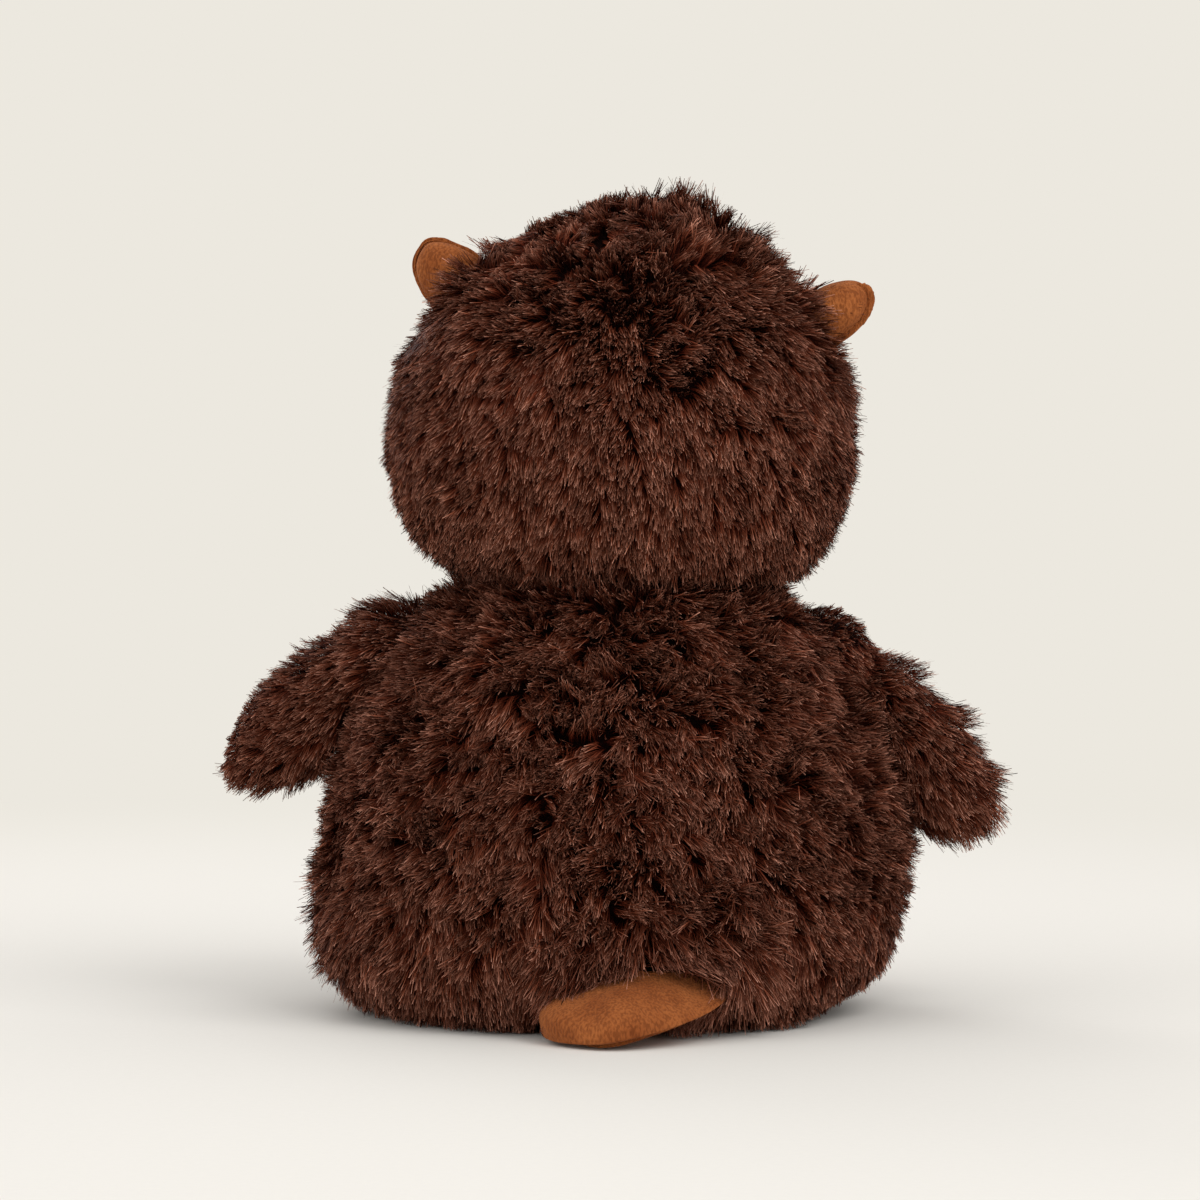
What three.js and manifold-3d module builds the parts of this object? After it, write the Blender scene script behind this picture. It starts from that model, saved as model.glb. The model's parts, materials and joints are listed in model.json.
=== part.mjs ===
// A stuffed plush beaver sitting on its seat. Millimetres, +Z up, with the origin on the ground under the
// middle of the flat seat. The beaver looks along -Y, its back is +Y and its own left side is +X.
import * as THREE from "three";
import { mergeVertices } from "three/addons/utils/BufferGeometryUtils.js";
import Module from "manifold-3d";

// Cloth thicknesses and clearances
const FUR_CLOTH = 8; // long-pile fur cloth, backing and lofted pile together
const PRESSED_FUR = 2; // the same cloth where a limb lies against the torso
const SUEDE = 1.6; // short-nap suede cloth
const POUCH_CLOTH = 1.2;
const SEAM_GAP = 0.3; // between pieces that are sewn edge to edge, or a cover and what fills it
const JOINT_GAP = 0.5; // round a soft root that flexes in its seam
const GROUND_GAP = 0.4; // under the feet, which only brush the ground
const ROUND = 2; // fullness of an ellipse; more is squarer

// Torso, a pear that its own weight has squashed flat underneath
const TORSO_HALF_WIDTH = 100;
const TORSO_FRONT = 84;
const TORSO_BACK = 92;
const TORSO_WIDEST = 44; // height of the widest level
const TORSO_ABOVE = 120; // from the widest level to the top of the pear
const TORSO_BELOW = 50;
const TORSO_FULL_ABOVE = 2;
const TORSO_FULL_BELOW = 4;
const SEAT_THICKNESS = 5;

// Weight pouch inside the torso
const POUCH_HALF_WIDTH = 56;
const POUCH_HALF_DEPTH = 48;
const POUCH_HEIGHT = 34;
const POUCH_FULLNESS = 2.4;

// Neck, drawn in by its seam between the torso and the head
const NECK_RADIUS = 46;
const NECK_SINK = 19; // the seam lies this far below the top of the pear
const NECK_OPENING = 26;
const NECK_ASIDE = 2;
const NECK_WAD = 15; // radius of the firm wad of stuffing in the neck
const NECK_RISE_ANGLE = 5.3; // slope of the underside of the head, away from the seam
const NECK_FALL_ANGLE = 3.5; // slope of the top of the torso
const TAPE_WIDTH = 3;
const TAPE_THICKNESS = 0.7;

// Head, which leans and looks a little to the beaver's right
const HEAD_HALF_WIDTH = 81;
const HEAD_FRONT = 72;
const HEAD_BACK = 70;
const HEAD_RISE = 45; // from the neck seam to the widest level
const HEAD_ABOVE = 84;
const HEAD_BELOW = 62;
const HEAD_FULL_ABOVE = 1.8;
const HEAD_FULL_BELOW = 2.1;
const HEAD_TILT = -6;
const HEAD_TURN = -6;

// Ears, each two layers of suede sewn round the rim and cupped forward
const EAR_LEVEL = 48; // above the widest level of the head
const EAR_LEAN = 30; // above the horizontal
const EAR_HALF_WIDTH = 13;
const EAR_HEIGHT = 19;
const EAR_CUP = 8;
const EAR_FULLNESS = 2.2;
const EAR_SINK = 2.5;
const EAR_ROOT = 5.5; // radius of the gathered root in the seam

// Face: muzzle, nose, teeth and eyes
const MUZZLE_LEVEL = -12; // below the widest level of the head
const MUZZLE_HALF_WIDTH = 33;
const MUZZLE_HALF_HEIGHT = 23;
const MUZZLE_REACH = 25; // out of the face
const MUZZLE_DEPTH = 12; // into the face
const NOSE_LEVEL = 11; // above the middle of the muzzle
const NOSE_HALF_WIDTH = 11;
const NOSE_HALF_HEIGHT = 7;
const NOSE_REACH = 7;
const NOSE_FULL_ABOVE = 2.4;
const NOSE_FULL_BELOW = 1.8;
const TOOTH_LEVEL = -9; // top of the teeth from the middle of the muzzle
const TOOTH_WIDTH = 8;
const TOOTH_LENGTH = 17;
const TOOTH_THICKNESS = 2;
const TOOTH_CORNER = 2.5;
const EYE_LEVEL = 13; // above the widest level of the head
const EYE_SPREAD = 30;
const EYE_RADIUS = 6;
const EYE_DOME = 4;
const EYE_SINK = 3; // the bead sits in the pile
const SHANK_RADIUS = 2;
const SHANK_LENGTH = 9; // beyond the bead's flat back
const WASHER_RADIUS = 7;
const WASHER_THICKNESS = 1.6;

// Arms, stubby and tapering, sewn into the side seams
const ARM_LENGTH = 79; // from the shoulder to the tip
const ARM_HALF_WIDTH = 22.5;
const ARM_HALF_DEPTH = 19;
const ARM_WIDEST = 30; // distance of the widest place from the shoulder
const ARM_ROOT = 20;
const ARM_FULL_TIP = 2.1;
const ARM_WAD = 8.5;
const SHOULDER_DROP = 29; // below the neck seam
const SHOULDER_SINK = 10; // inside the side of the torso
const ARM_DROOP = { left: 28, right: 45 }; // below the horizontal
const ARM_FORWARD = { left: 24, right: 4 };
const ARM_SWING = 15;

// Feet, sewn to the front of the torso with suede soles
const FOOT_LENGTH = 58; // from the hip to the sole
const FOOT_HALF_WIDTH = 23;
const FOOT_HALF_HEIGHT = 21;
const FOOT_WIDEST = 34;
const FOOT_ROOT = 19;
const FOOT_FULL_TIP = 3.5;
const SOLE_THICKNESS = 9;
const HIP_SPREAD = 44;
const HIP_SINK = 8;
const FOOT_SPLAY = 14;
const FOOT_LIFT = 30;

// Tail, a padded paddle, flat underneath, that slopes to the ground and bends to the beaver's left
const TAIL_LENGTH = 44; // from its seam to the tip
const TAIL_HALF_WIDTH = 30;
const TAIL_ABOVE = 11; // padding over the rim
const TAIL_BELOW = 3; // padding under the rim
const TAIL_WIDEST = 20; // distance of the widest place from its seam
const TAIL_FULLNESS = 2.2;
const TAIL_ROOT = 6;
const TAIL_ROOT_LENGTH = 30;
const TAIL_LEVEL = 14;
const TAIL_SINK = 5;
const TAIL_ASIDE = -14;
const TAIL_BEND = -26;
const TAIL_FALL = 15; // slope down to the tip
const TAIL_ROLL = 8; // the beaver's right edge is the higher one
const TAIL_LIFT = 30;

// Facets of the round shapes
const FINE = { around: 24, along: 12 };
const MEDIUM = { around: 14, along: 8 };
const COARSE = { around: 10, along: 6 };
const SMALL_SIDES = 10; // round a small rod
const BEND_STEPS = 5; // along a small rounded edge

const wasm = await Module();
wasm.setup();

const FAR = 400; // past the whole object
const SAME_POINT = 1e-4;
const SIDES = { left: 1, right: -1 };
const ACROSS = new THREE.Vector3(1, 0, 0);
const radians = THREE.MathUtils.degToRad;

// Solids

function solidOf(geometry) {
  const bare = geometry.index ? geometry.toNonIndexed() : geometry.clone();
  for (const name of Object.keys(bare.attributes)) {
    if (name !== "position") bare.deleteAttribute(name);
  }
  const merged = mergeVertices(bare, SAME_POINT);
  return new wasm.Manifold(new wasm.Mesh({
    numProp: 3,
    vertProperties: new Float32Array(merged.attributes.position.array),
    triVerts: new Uint32Array(merged.index.array),
  }));
}

function cutBy(solid, cutters) {
  return cutters.reduce((rest, cutter) => rest.subtract(cutter), solid);
}

function block(low, high) {
  const size = high.map((value, axis) => value - low[axis]);
  const middle = high.map((value, axis) => (value + low[axis]) / 2);
  return solidOf(new THREE.BoxGeometry(...size).translate(...middle));
}

const above = (height) => block([-FAR, -FAR, height], [FAR, FAR, FAR]);
const below = (height) => block([-FAR, -FAR, -FAR], [FAR, FAR, height]);
const behind = (place) => block([-FAR, place, -FAR], [FAR, FAR, FAR]);
const before = (place) => block([-FAR, -FAR, -FAR], [FAR, place, FAR]);
const leftOf = (place) => block([place, -FAR, -FAR], [FAR, FAR, FAR]);
const rightOf = (place) => block([-FAR, -FAR, -FAR], [place, FAR, FAR]);

// A ball inside its radius, for what turns.
function ball(radius, facets = MEDIUM) {
  return solidOf(new THREE.SphereGeometry(radius, facets.around, facets.along).rotateX(Math.PI / 2));
}

// A ball whose faces keep outside the radius, for the hollow that a ball turns in.
function socket(radius, facets = MEDIUM, gap = JOINT_GAP) {
  const flat = Math.cos(Math.PI / facets.around) * Math.cos(Math.PI / (2 * facets.along));
  return ball((radius + gap) / flat, facets);
}

// A rod along Z between two heights.
function rod(radius, low, high, sides = SMALL_SIDES) {
  const geometry = new THREE.CylinderGeometry(radius, radius, high - low, sides).rotateX(Math.PI / 2);
  return solidOf(geometry.translate(0, 0, (low + high) / 2));
}

// A rod along X, centred.
function crossRod(radius, length) {
  return solidOf(new THREE.CylinderGeometry(radius, radius, length, SMALL_SIDES).rotateZ(Math.PI / 2));
}

// The room that such a rod rolls in.
function crossRoom(radius, length) {
  return crossRod((radius + JOINT_GAP) / Math.cos(Math.PI / SMALL_SIDES), length + 2 * JOINT_GAP);
}

function turned(outline, around = FINE.around) {
  const points = outline.map(([radius, height]) => new THREE.Vector2(radius, height));
  return solidOf(new THREE.LatheGeometry(points, around).rotateX(Math.PI / 2));
}

// Everything on one side of a cone whose point is on the neck seam's middle, lifted by some height.
function overCone(slope, lift) {
  const edge = lift + FAR * Math.tan(radians(slope));
  return turned([[0, lift], [FAR, edge], [FAR, FAR], [0, FAR]]);
}

function underCone(slope, lift) {
  const edge = lift + FAR * Math.tan(radians(slope));
  return turned([[0, -FAR], [FAR, -FAR], [FAR, edge], [0, lift]]);
}

// A stuffed form: a ball drawn out sideways, with its own fullness above and below its widest level and its
// own depth before and behind.
class StuffedForm {
  constructor(sizes) {
    Object.assign(this, sizes);
  }

  // Share of the widest section that is left at a height.
  share(height) {
    const level = height - this.widest;
    const [reach, fullness] = level > 0 ? [this.above, this.fullAbove] : [this.below, this.fullBelow];
    return (1 - Math.abs(level / reach) ** fullness) ** (1 / fullness);
  }

  // Depth of the surface behind or before the middle, at a place across and a height.
  depth(across, height, towards) {
    const reach = towards > 0 ? this.back : this.front;
    return towards * reach * Math.sqrt(this.share(height) ** 2 - (across / this.halfWidth) ** 2);
  }

  solid(inset = 0, facets = FINE) {
    const geometry = new THREE.SphereGeometry(1, facets.around, facets.along).rotateX(Math.PI / 2);
    const place = geometry.attributes.position;
    for (let i = 0; i < place.count; i += 1) {
      const [across, forth, up] = [place.getX(i), place.getY(i), place.getZ(i)];
      const level = Math.min(Math.abs(up), 1);
      const spread = Math.min(Math.hypot(across, forth), 1);
      const fullness = up > 0 ? this.fullAbove : this.fullBelow;
      const reach = up > 0 ? this.above - inset : inset - this.below;
      const swell = spread > SAME_POINT ? spread ** (2 / fullness) / spread : 0;
      const depth = (forth > 0 ? this.back : this.front) - inset;
      place.setXYZ(
        i,
        across * swell * (this.halfWidth - inset),
        forth * swell * depth,
        this.widest + reach * level ** (2 / fullness),
      );
    }
    return solidOf(geometry);
  }
}

// Frames and pieces

function frameAt(parent, position, { nod = 0, tilt = 0, turn = 0 } = {}) {
  const frame = new THREE.Group();
  frame.position.set(...position);
  frame.rotation.set(radians(nod), radians(tilt), radians(turn), "ZYX");
  parent.add(frame);
  frame.updateMatrixWorld(true);
  return frame;
}

// A solid of one frame as another frame sees it.
function carried(solid, from, to) {
  const matrix = to.matrixWorld.clone().invert().multiply(from.matrixWorld);
  return solid.transform(matrix.elements);
}

const moved = (solid, x, y, z) => solid.translate([x, y, z]);

const FINISHES = {
  fur: { color: 0x4a2b20, roughness: 0.95 },
  suede: { color: 0x965a2c, roughness: 0.9 },
  stuffing: { color: 0xe9e6df, roughness: 1 },
  cotton: { color: 0xd8d0c0, roughness: 0.95 },
  pellets: { color: 0xc9b78e, roughness: 0.8 },
  tape: { color: 0x2a1811, roughness: 0.9 },
  bead: { color: 0x0b0908, roughness: 0.12 },
  washer: { color: 0xe6e4de, roughness: 0.5 },
  velour: { color: 0x20130f, roughness: 0.8 },
  felt: { color: 0xf1ede2, roughness: 0.95 },
};

function addPiece(frame, name, solid, finish) {
  const { vertProperties, triVerts } = solid.getMesh();
  const geometry = new THREE.BufferGeometry();
  geometry.setAttribute("position", new THREE.BufferAttribute(vertProperties, 3));
  geometry.setIndex(new THREE.BufferAttribute(triVerts, 1));
  geometry.computeVertexNormals();
  const material = new THREE.MeshStandardMaterial({ ...FINISHES[finish], metalness: 0 });
  const mesh = new THREE.Mesh(geometry, material);
  mesh.name = name;
  frame.add(mesh);
}

// Places of the frames, each on the form that carries it

const torsoForm = new StuffedForm({
  halfWidth: TORSO_HALF_WIDTH,
  front: TORSO_FRONT,
  back: TORSO_BACK,
  widest: TORSO_WIDEST,
  above: TORSO_ABOVE,
  below: TORSO_BELOW,
  fullAbove: TORSO_FULL_ABOVE,
  fullBelow: TORSO_FULL_BELOW,
});

const headForm = new StuffedForm({
  halfWidth: HEAD_HALF_WIDTH,
  front: HEAD_FRONT,
  back: HEAD_BACK,
  widest: HEAD_RISE,
  above: HEAD_ABOVE,
  below: HEAD_BELOW,
  fullAbove: HEAD_FULL_ABOVE,
  fullBelow: HEAD_FULL_BELOW,
});

const beaver = new THREE.Group();
const neckHeight = TORSO_WIDEST + TORSO_ABOVE - NECK_SINK;
const torso = frameAt(beaver, [0, 0, 0]);
const neck = frameAt(beaver, [NECK_ASIDE, 0, neckHeight]);
const head = frameAt(neck, [0, 0, 0], { tilt: HEAD_TILT, turn: HEAD_TURN });

const shoulderHeight = neckHeight - SHOULDER_DROP;
const shoulderReach = torsoForm.share(shoulderHeight) * TORSO_HALF_WIDTH - SHOULDER_SINK;
const hipHeight = FOOT_HALF_HEIGHT + GROUND_GAP;
const hipPlace = torsoForm.depth(HIP_SPREAD, hipHeight, -1) + HIP_SINK;
const arms = {};
const feet = {};
for (const [side, sign] of Object.entries(SIDES)) {
  const shoulder = [sign * shoulderReach, 0, shoulderHeight];
  const pose = { tilt: sign * (90 + ARM_DROOP[side]), turn: -sign * ARM_FORWARD[side] };
  arms[side] = frameAt(beaver, shoulder, pose);
  const hip = [sign * HIP_SPREAD, hipPlace, hipHeight];
  feet[side] = frameAt(beaver, hip, { nod: 90, turn: sign * FOOT_SPLAY });
}

const tailPlace = torsoForm.depth(TAIL_ASIDE, TAIL_LEVEL, 1) - TAIL_SINK;
const tailPose = { nod: -TAIL_FALL, tilt: TAIL_ROLL, turn: TAIL_BEND };
const tail = frameAt(beaver, [TAIL_ASIDE, tailPlace, TAIL_LEVEL], tailPose);

// Torso: four fur panels, stuffing, and the weight pouch in its seat

function torsoWithSockets(inset, facets, socketFacets) {
  const sockets = [
    carried(socket(NECK_RADIUS, facets), neck, torso),
    carried(overCone(-NECK_FALL_ANGLE, -inset), neck, torso),
    carried(crossRoom(TAIL_ROOT, TAIL_ROOT_LENGTH), tail, torso),
  ];
  for (const side of Object.keys(SIDES)) {
    sockets.push(carried(socket(ARM_ROOT, socketFacets), arms[side], torso));
    sockets.push(carried(socket(FOOT_ROOT, socketFacets), feet[side], torso));
  }
  return cutBy(torsoForm.solid(inset, facets), sockets);
}

function addTorso() {
  const outside = torsoWithSockets(0, FINE, MEDIUM);
  const skin = outside.subtract(torsoForm.solid(FUR_CLOTH, COARSE));
  const mouthHalf = TAIL_ROOT_LENGTH / 2 + JOINT_GAP;
  const tailMouth = block([-mouthHalf, -TAIL_ROOT, -TAIL_LEVEL], [mouthHalf, TAIL_ROOT, 0]);
  const sides = skin.intersect(above(SEAT_THICKNESS + SEAM_GAP)).subtract(carried(tailMouth, tail, torso));
  const back = sides.intersect(behind(SEAM_GAP / 2));
  addPiece(torso, "torso_back_left_panel", back.intersect(leftOf(SEAM_GAP / 2)), "fur");
  addPiece(torso, "torso_back_right_panel", back.intersect(rightOf(-SEAM_GAP / 2)), "fur");
  addPiece(torso, "torso_belly_panel", sides.intersect(before(-SEAM_GAP / 2)), "fur");
  const seat = outside.intersect(block([-FAR, -FAR, 0], [FAR, FAR, SEAT_THICKNESS]));
  addPiece(torso, "torso_seat_panel", seat, "fur");

  const floor = SEAT_THICKNESS + SEAM_GAP;
  const pouchForm = new StuffedForm({
    halfWidth: POUCH_HALF_WIDTH,
    front: POUCH_HALF_DEPTH,
    back: POUCH_HALF_DEPTH,
    widest: floor + POUCH_HEIGHT / 2,
    above: POUCH_HEIGHT / 2,
    below: POUCH_HEIGHT / 2,
    fullAbove: POUCH_FULLNESS,
    fullBelow: POUCH_FULLNESS,
  });
  const pouchPit = pouchForm.solid(-SEAM_GAP, COARSE);
  const pitMouth = rod(POUCH_HALF_DEPTH, 0, pouchForm.widest);
  const filling = torsoWithSockets(FUR_CLOTH + SEAM_GAP, COARSE, COARSE).intersect(above(floor));
  addPiece(torso, "torso_stuffing", cutBy(filling, [pouchPit, pitMouth]), "stuffing");

  const cloth = pouchForm.solid(0, COARSE).subtract(pouchForm.solid(POUCH_CLOTH, COARSE));
  addPiece(torso, "pouch_upper_cloth", cloth.intersect(above(pouchForm.widest + SEAM_GAP / 2)), "cotton");
  addPiece(torso, "pouch_lower_cloth", cloth.intersect(below(pouchForm.widest - SEAM_GAP / 2)), "cotton");
  addPiece(torso, "pouch_pellets", pouchForm.solid(POUCH_CLOTH + SEAM_GAP, COARSE), "pellets");
}

// Neck: the seam tape, which turns with the head, and the firm wad that the head leans on

function addNeck() {
  const inner = NECK_RADIUS + JOINT_GAP;
  const outer = inner + TAPE_WIDTH;
  const foot = SEAM_GAP - inner * Math.tan(radians(NECK_FALL_ANGLE));
  const top = foot + TAPE_THICKNESS;
  const tape = turned([[inner, foot], [outer, foot], [outer, top], [inner, top], [inner, foot]]);
  addPiece(neck, "neck_seam_tape", tape, "tape");
  addPiece(neck, "neck_wad", ball(NECK_WAD), "stuffing");
}

// Head: face and back panels over the stuffing, with the muzzle, nose, teeth and eyes on the face

const muzzleHeight = HEAD_RISE + MUZZLE_LEVEL;
const muzzleForm = new StuffedForm({
  halfWidth: MUZZLE_HALF_WIDTH,
  front: MUZZLE_REACH,
  back: MUZZLE_DEPTH,
  widest: muzzleHeight,
  above: MUZZLE_HALF_HEIGHT,
  below: MUZZLE_HALF_HEIGHT,
  fullAbove: ROUND,
  fullBelow: ROUND,
});
const muzzlePlace = headForm.depth(0, muzzleHeight, -1);
const muzzleSolid = (inset) => moved(muzzleForm.solid(inset, MEDIUM), 0, muzzlePlace, 0);

const ears = {};
for (const [side, sign] of Object.entries(SIDES)) {
  const level = HEAD_RISE + EAR_LEVEL;
  const reach = headForm.share(level) * HEAD_HALF_WIDTH;
  const lean = radians(EAR_LEAN);
  const seat = [sign * (reach - EAR_SINK * Math.cos(lean)), 0, level - EAR_SINK * Math.sin(lean)];
  ears[side] = frameAt(head, seat, { tilt: sign * (90 - EAR_LEAN) });
}

const eyes = {};
for (const [side, sign] of Object.entries(SIDES)) {
  const level = HEAD_RISE + EYE_LEVEL;
  const across = sign * EYE_SPREAD;
  const place = headForm.depth(across, level, -1);
  const outward = new THREE.Vector3(
    across / HEAD_HALF_WIDTH ** 2,
    place / HEAD_FRONT ** 2,
    EYE_LEVEL / HEAD_ABOVE ** 2,
  ).normalize();
  const eye = frameAt(head, [across, place, level]);
  eye.quaternion.setFromUnitVectors(new THREE.Vector3(0, 0, 1), outward);
  eye.updateMatrixWorld(true);
  eyes[side] = eye;
}

function headBlank(inset, facets) {
  const underside = carried(underCone(NECK_RISE_ANGLE, inset), neck, head);
  const dome = headForm.solid(inset, facets).subtract(underside);
  return dome.add(ball(NECK_RADIUS - inset, facets));
}

function addHead() {
  const shankEnd = EYE_SINK + SHANK_LENGTH;
  const cuts = [rod(NECK_OPENING, -FAR, 0, FINE.around), muzzleSolid(-SEAM_GAP)];
  const pits = [rod(NECK_WAD / 2, -FAR, 0), socket(NECK_WAD, MEDIUM, SEAM_GAP), muzzleSolid(-SEAM_GAP)];
  for (const side of Object.keys(SIDES)) {
    const earPit = crossRoom(EAR_ROOT, 2 * EAR_HALF_WIDTH);
    cuts.push(carried(moved(earPit, 0, EAR_CUP / 2, 0), ears[side], head));
    cuts.push(carried(rod(EYE_RADIUS + SEAM_GAP, -EYE_SINK, EYE_RADIUS), eyes[side], head));
    cuts.push(carried(rod(SHANK_RADIUS + SEAM_GAP, -shankEnd - SEAM_GAP, 0), eyes[side], head));
    const washerPit = rod(WASHER_RADIUS + SEAM_GAP, -shankEnd - SEAM_GAP, -FUR_CLOTH);
    cuts.push(carried(washerPit, eyes[side], head));
    pits.push(carried(washerPit, eyes[side], head));
  }
  const skin = cutBy(headBlank(0, FINE).subtract(headBlank(FUR_CLOTH, COARSE)), cuts);
  addPiece(head, "head_back_panel", skin.intersect(behind(SEAM_GAP / 2)), "fur");
  addPiece(head, "head_face_panel", skin.intersect(before(-SEAM_GAP / 2)), "fur");
  addPiece(head, "head_stuffing", cutBy(headBlank(FUR_CLOTH + SEAM_GAP, COARSE), pits), "stuffing");

  const cover = muzzleSolid(0).subtract(muzzleSolid(SUEDE));
  addPiece(head, "muzzle_cover", cover.intersect(before(muzzlePlace + MUZZLE_DEPTH / 2)), "suede");
  addPiece(head, "muzzle_stuffing", muzzleSolid(SUEDE + SEAM_GAP), "stuffing");
  addNose();
  for (const side of Object.keys(SIDES)) {
    addTooth(side);
    addEye(side);
    addEar(side);
  }
}

function addNose() {
  const height = muzzleHeight + NOSE_LEVEL;
  const noseForm = new StuffedForm({
    halfWidth: NOSE_HALF_WIDTH,
    front: NOSE_REACH,
    back: NOSE_REACH,
    widest: height,
    above: NOSE_HALF_HEIGHT,
    below: NOSE_HALF_HEIGHT,
    fullAbove: NOSE_FULL_ABOVE,
    fullBelow: NOSE_FULL_BELOW,
  });
  const place = muzzlePlace + muzzleForm.depth(0, height, -1);
  const nose = moved(noseForm.solid(0, COARSE), 0, place, 0).subtract(muzzleSolid(-SEAM_GAP));
  addPiece(head, "nose", nose, "velour");
}

// A felt tooth hangs from the muzzle, round at its two lower corners.
function addTooth(side) {
  const sign = SIDES[side];
  const inner = sign * SEAM_GAP / 2;
  const outer = inner + sign * TOOTH_WIDTH;
  const top = muzzleHeight + TOOTH_LEVEL;
  const bottom = top - TOOTH_LENGTH;
  const corner = sign * TOOTH_CORNER;
  const outline = new THREE.Shape();
  outline.moveTo(inner, top);
  outline.lineTo(inner, bottom + TOOTH_CORNER);
  outline.quadraticCurveTo(inner, bottom, inner + corner, bottom);
  outline.lineTo(outer - corner, bottom);
  outline.quadraticCurveTo(outer, bottom, outer, bottom + TOOTH_CORNER);
  outline.lineTo(outer, top);
  outline.closePath();
  const sheet = new THREE.ExtrudeGeometry(outline, {
    depth: TOOTH_THICKNESS,
    bevelEnabled: false,
    curveSegments: BEND_STEPS,
  });
  const place = muzzlePlace + muzzleForm.depth(outer, top, -1) - SEAM_GAP;
  const tooth = moved(solidOf(sheet.rotateX(Math.PI / 2)), 0, place, 0);
  addPiece(head, `${side}_tooth`, tooth.subtract(muzzleSolid(-SEAM_GAP)), "felt");
}

function addEye(side) {
  const back = SEAM_GAP - EYE_SINK;
  const outline = [[0, back]];
  for (let step = 0; step <= BEND_STEPS; step += 1) {
    const angle = (step / BEND_STEPS) * (Math.PI / 2);
    outline.push([EYE_RADIUS * Math.cos(angle), back + EYE_DOME * Math.sin(angle)]);
  }
  const bead = turned(outline, SMALL_SIDES);
  const shank = rod(SHANK_RADIUS, back - SHANK_LENGTH, back + EYE_DOME / 2);
  addPiece(eyes[side], `${side}_eye`, bead.add(shank), "bead");
  const washerTop = -FUR_CLOTH - SEAM_GAP;
  const disc = rod(WASHER_RADIUS, washerTop - WASHER_THICKNESS, washerTop);
  const hole = rod(SHANK_RADIUS + SEAM_GAP, -FAR, FAR);
  addPiece(eyes[side], `${side}_eye_washer`, disc.subtract(hole), "washer");
}

function addEar(side) {
  const earForm = new StuffedForm({
    halfWidth: EAR_HALF_WIDTH,
    front: EAR_CUP,
    back: EAR_CUP,
    widest: 0,
    above: EAR_HEIGHT,
    below: EAR_HEIGHT,
    fullAbove: EAR_FULLNESS,
    fullBelow: EAR_FULLNESS,
  });
  const cup = behind(0).intersect(above(0));
  const layer = (inset) => {
    const shell = earForm.solid(inset, COARSE).subtract(earForm.solid(inset + SUEDE, COARSE));
    return shell.intersect(cup);
  };
  const root = moved(crossRod(EAR_ROOT, 2 * EAR_HALF_WIDTH), 0, EAR_CUP / 2, 0);
  const rootRoom = moved(crossRod(EAR_ROOT + SEAM_GAP, FAR), 0, EAR_CUP / 2, 0);
  addPiece(ears[side], `${side}_ear_back`, layer(0).add(root), "suede");
  addPiece(ears[side], `${side}_ear_front`, layer(SUEDE + SEAM_GAP).subtract(rootRoom), "suede");
}

// Limbs: a fur cover with a rounded root in the torso's seam, over its own stuffing

// The torso as a limb meets it through its whole range, swollen by a gap and seen from the limb's frame. The
// limb turns by the angles about the axis, so the torso turns the other way.
function torsoInTheWay(limb, gap, { axis, angles }) {
  const swollen = carried(torsoForm.solid(-gap, FINE), torso, limb);
  return angles.map((angle) => {
    const matrix = new THREE.Matrix4().makeRotationAxis(axis, -radians(angle));
    return swollen.transform(matrix.elements);
  });
}

// Angles from rest to a limit, in even steps.
function stepsTo(limit, count = 3) {
  return Array.from({ length: count + 1 }, (_, step) => (limit * step) / count);
}

function limbSolid(limb, form, root, layers, facets, sweep) {
  const inset = layers.fur + layers.seam;
  const wall = layers.pressed + layers.seam;
  const clear = cutBy(form.solid(inset, facets), torsoInTheWay(limb, JOINT_GAP + wall, sweep));
  return clear.add(ball(root - inset, facets));
}

// The layers that lie outside a limb's cover, its hollow and its stuffing.
const COVER = { fur: 0, pressed: 0, seam: 0 };
const HOLLOW = { fur: FUR_CLOTH, pressed: PRESSED_FUR, seam: 0 };
const STUFFING = { fur: FUR_CLOTH, pressed: PRESSED_FUR, seam: SEAM_GAP };

const armForm = new StuffedForm({
  halfWidth: ARM_HALF_WIDTH,
  front: ARM_HALF_DEPTH,
  back: ARM_HALF_DEPTH,
  widest: ARM_WIDEST,
  above: ARM_LENGTH - ARM_WIDEST,
  below: ARM_WIDEST + ARM_ROOT - FUR_CLOTH,
  fullAbove: ARM_FULL_TIP,
  fullBelow: ROUND,
});

function addArm(side) {
  const arm = arms[side];
  const upright = new THREE.Vector3(0, 0, 1).applyQuaternion(arm.quaternion.clone().invert());
  const sweep = { axis: upright, angles: [-ARM_SWING, 0, ARM_SWING] };
  const outside = limbSolid(arm, armForm, ARM_ROOT, COVER, MEDIUM, sweep);
  const inside = limbSolid(arm, armForm, ARM_ROOT, HOLLOW, COARSE, sweep);
  const skin = outside.subtract(inside);
  addPiece(arm, `${side}_arm_back_panel`, skin.intersect(behind(SEAM_GAP / 2)), "fur");
  addPiece(arm, `${side}_arm_front_panel`, skin.intersect(before(-SEAM_GAP / 2)), "fur");
  const filling = limbSolid(arm, armForm, ARM_ROOT, STUFFING, COARSE, sweep);
  const wadRoom = [socket(ARM_WAD, MEDIUM, SEAM_GAP), rod(ARM_WAD / 2, -FAR, 0)];
  addPiece(arm, `${side}_arm_stuffing`, cutBy(filling, wadRoom), "stuffing");
  addPiece(arm, `${side}_shoulder_wad`, ball(ARM_WAD), "stuffing");
}

const footForm = new StuffedForm({
  halfWidth: FOOT_HALF_WIDTH,
  front: FOOT_HALF_HEIGHT,
  back: FOOT_HALF_HEIGHT,
  widest: FOOT_WIDEST,
  above: FOOT_LENGTH - FOOT_WIDEST,
  below: FOOT_WIDEST + FOOT_ROOT - FUR_CLOTH,
  fullAbove: FOOT_FULL_TIP,
  fullBelow: ROUND,
});

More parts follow.
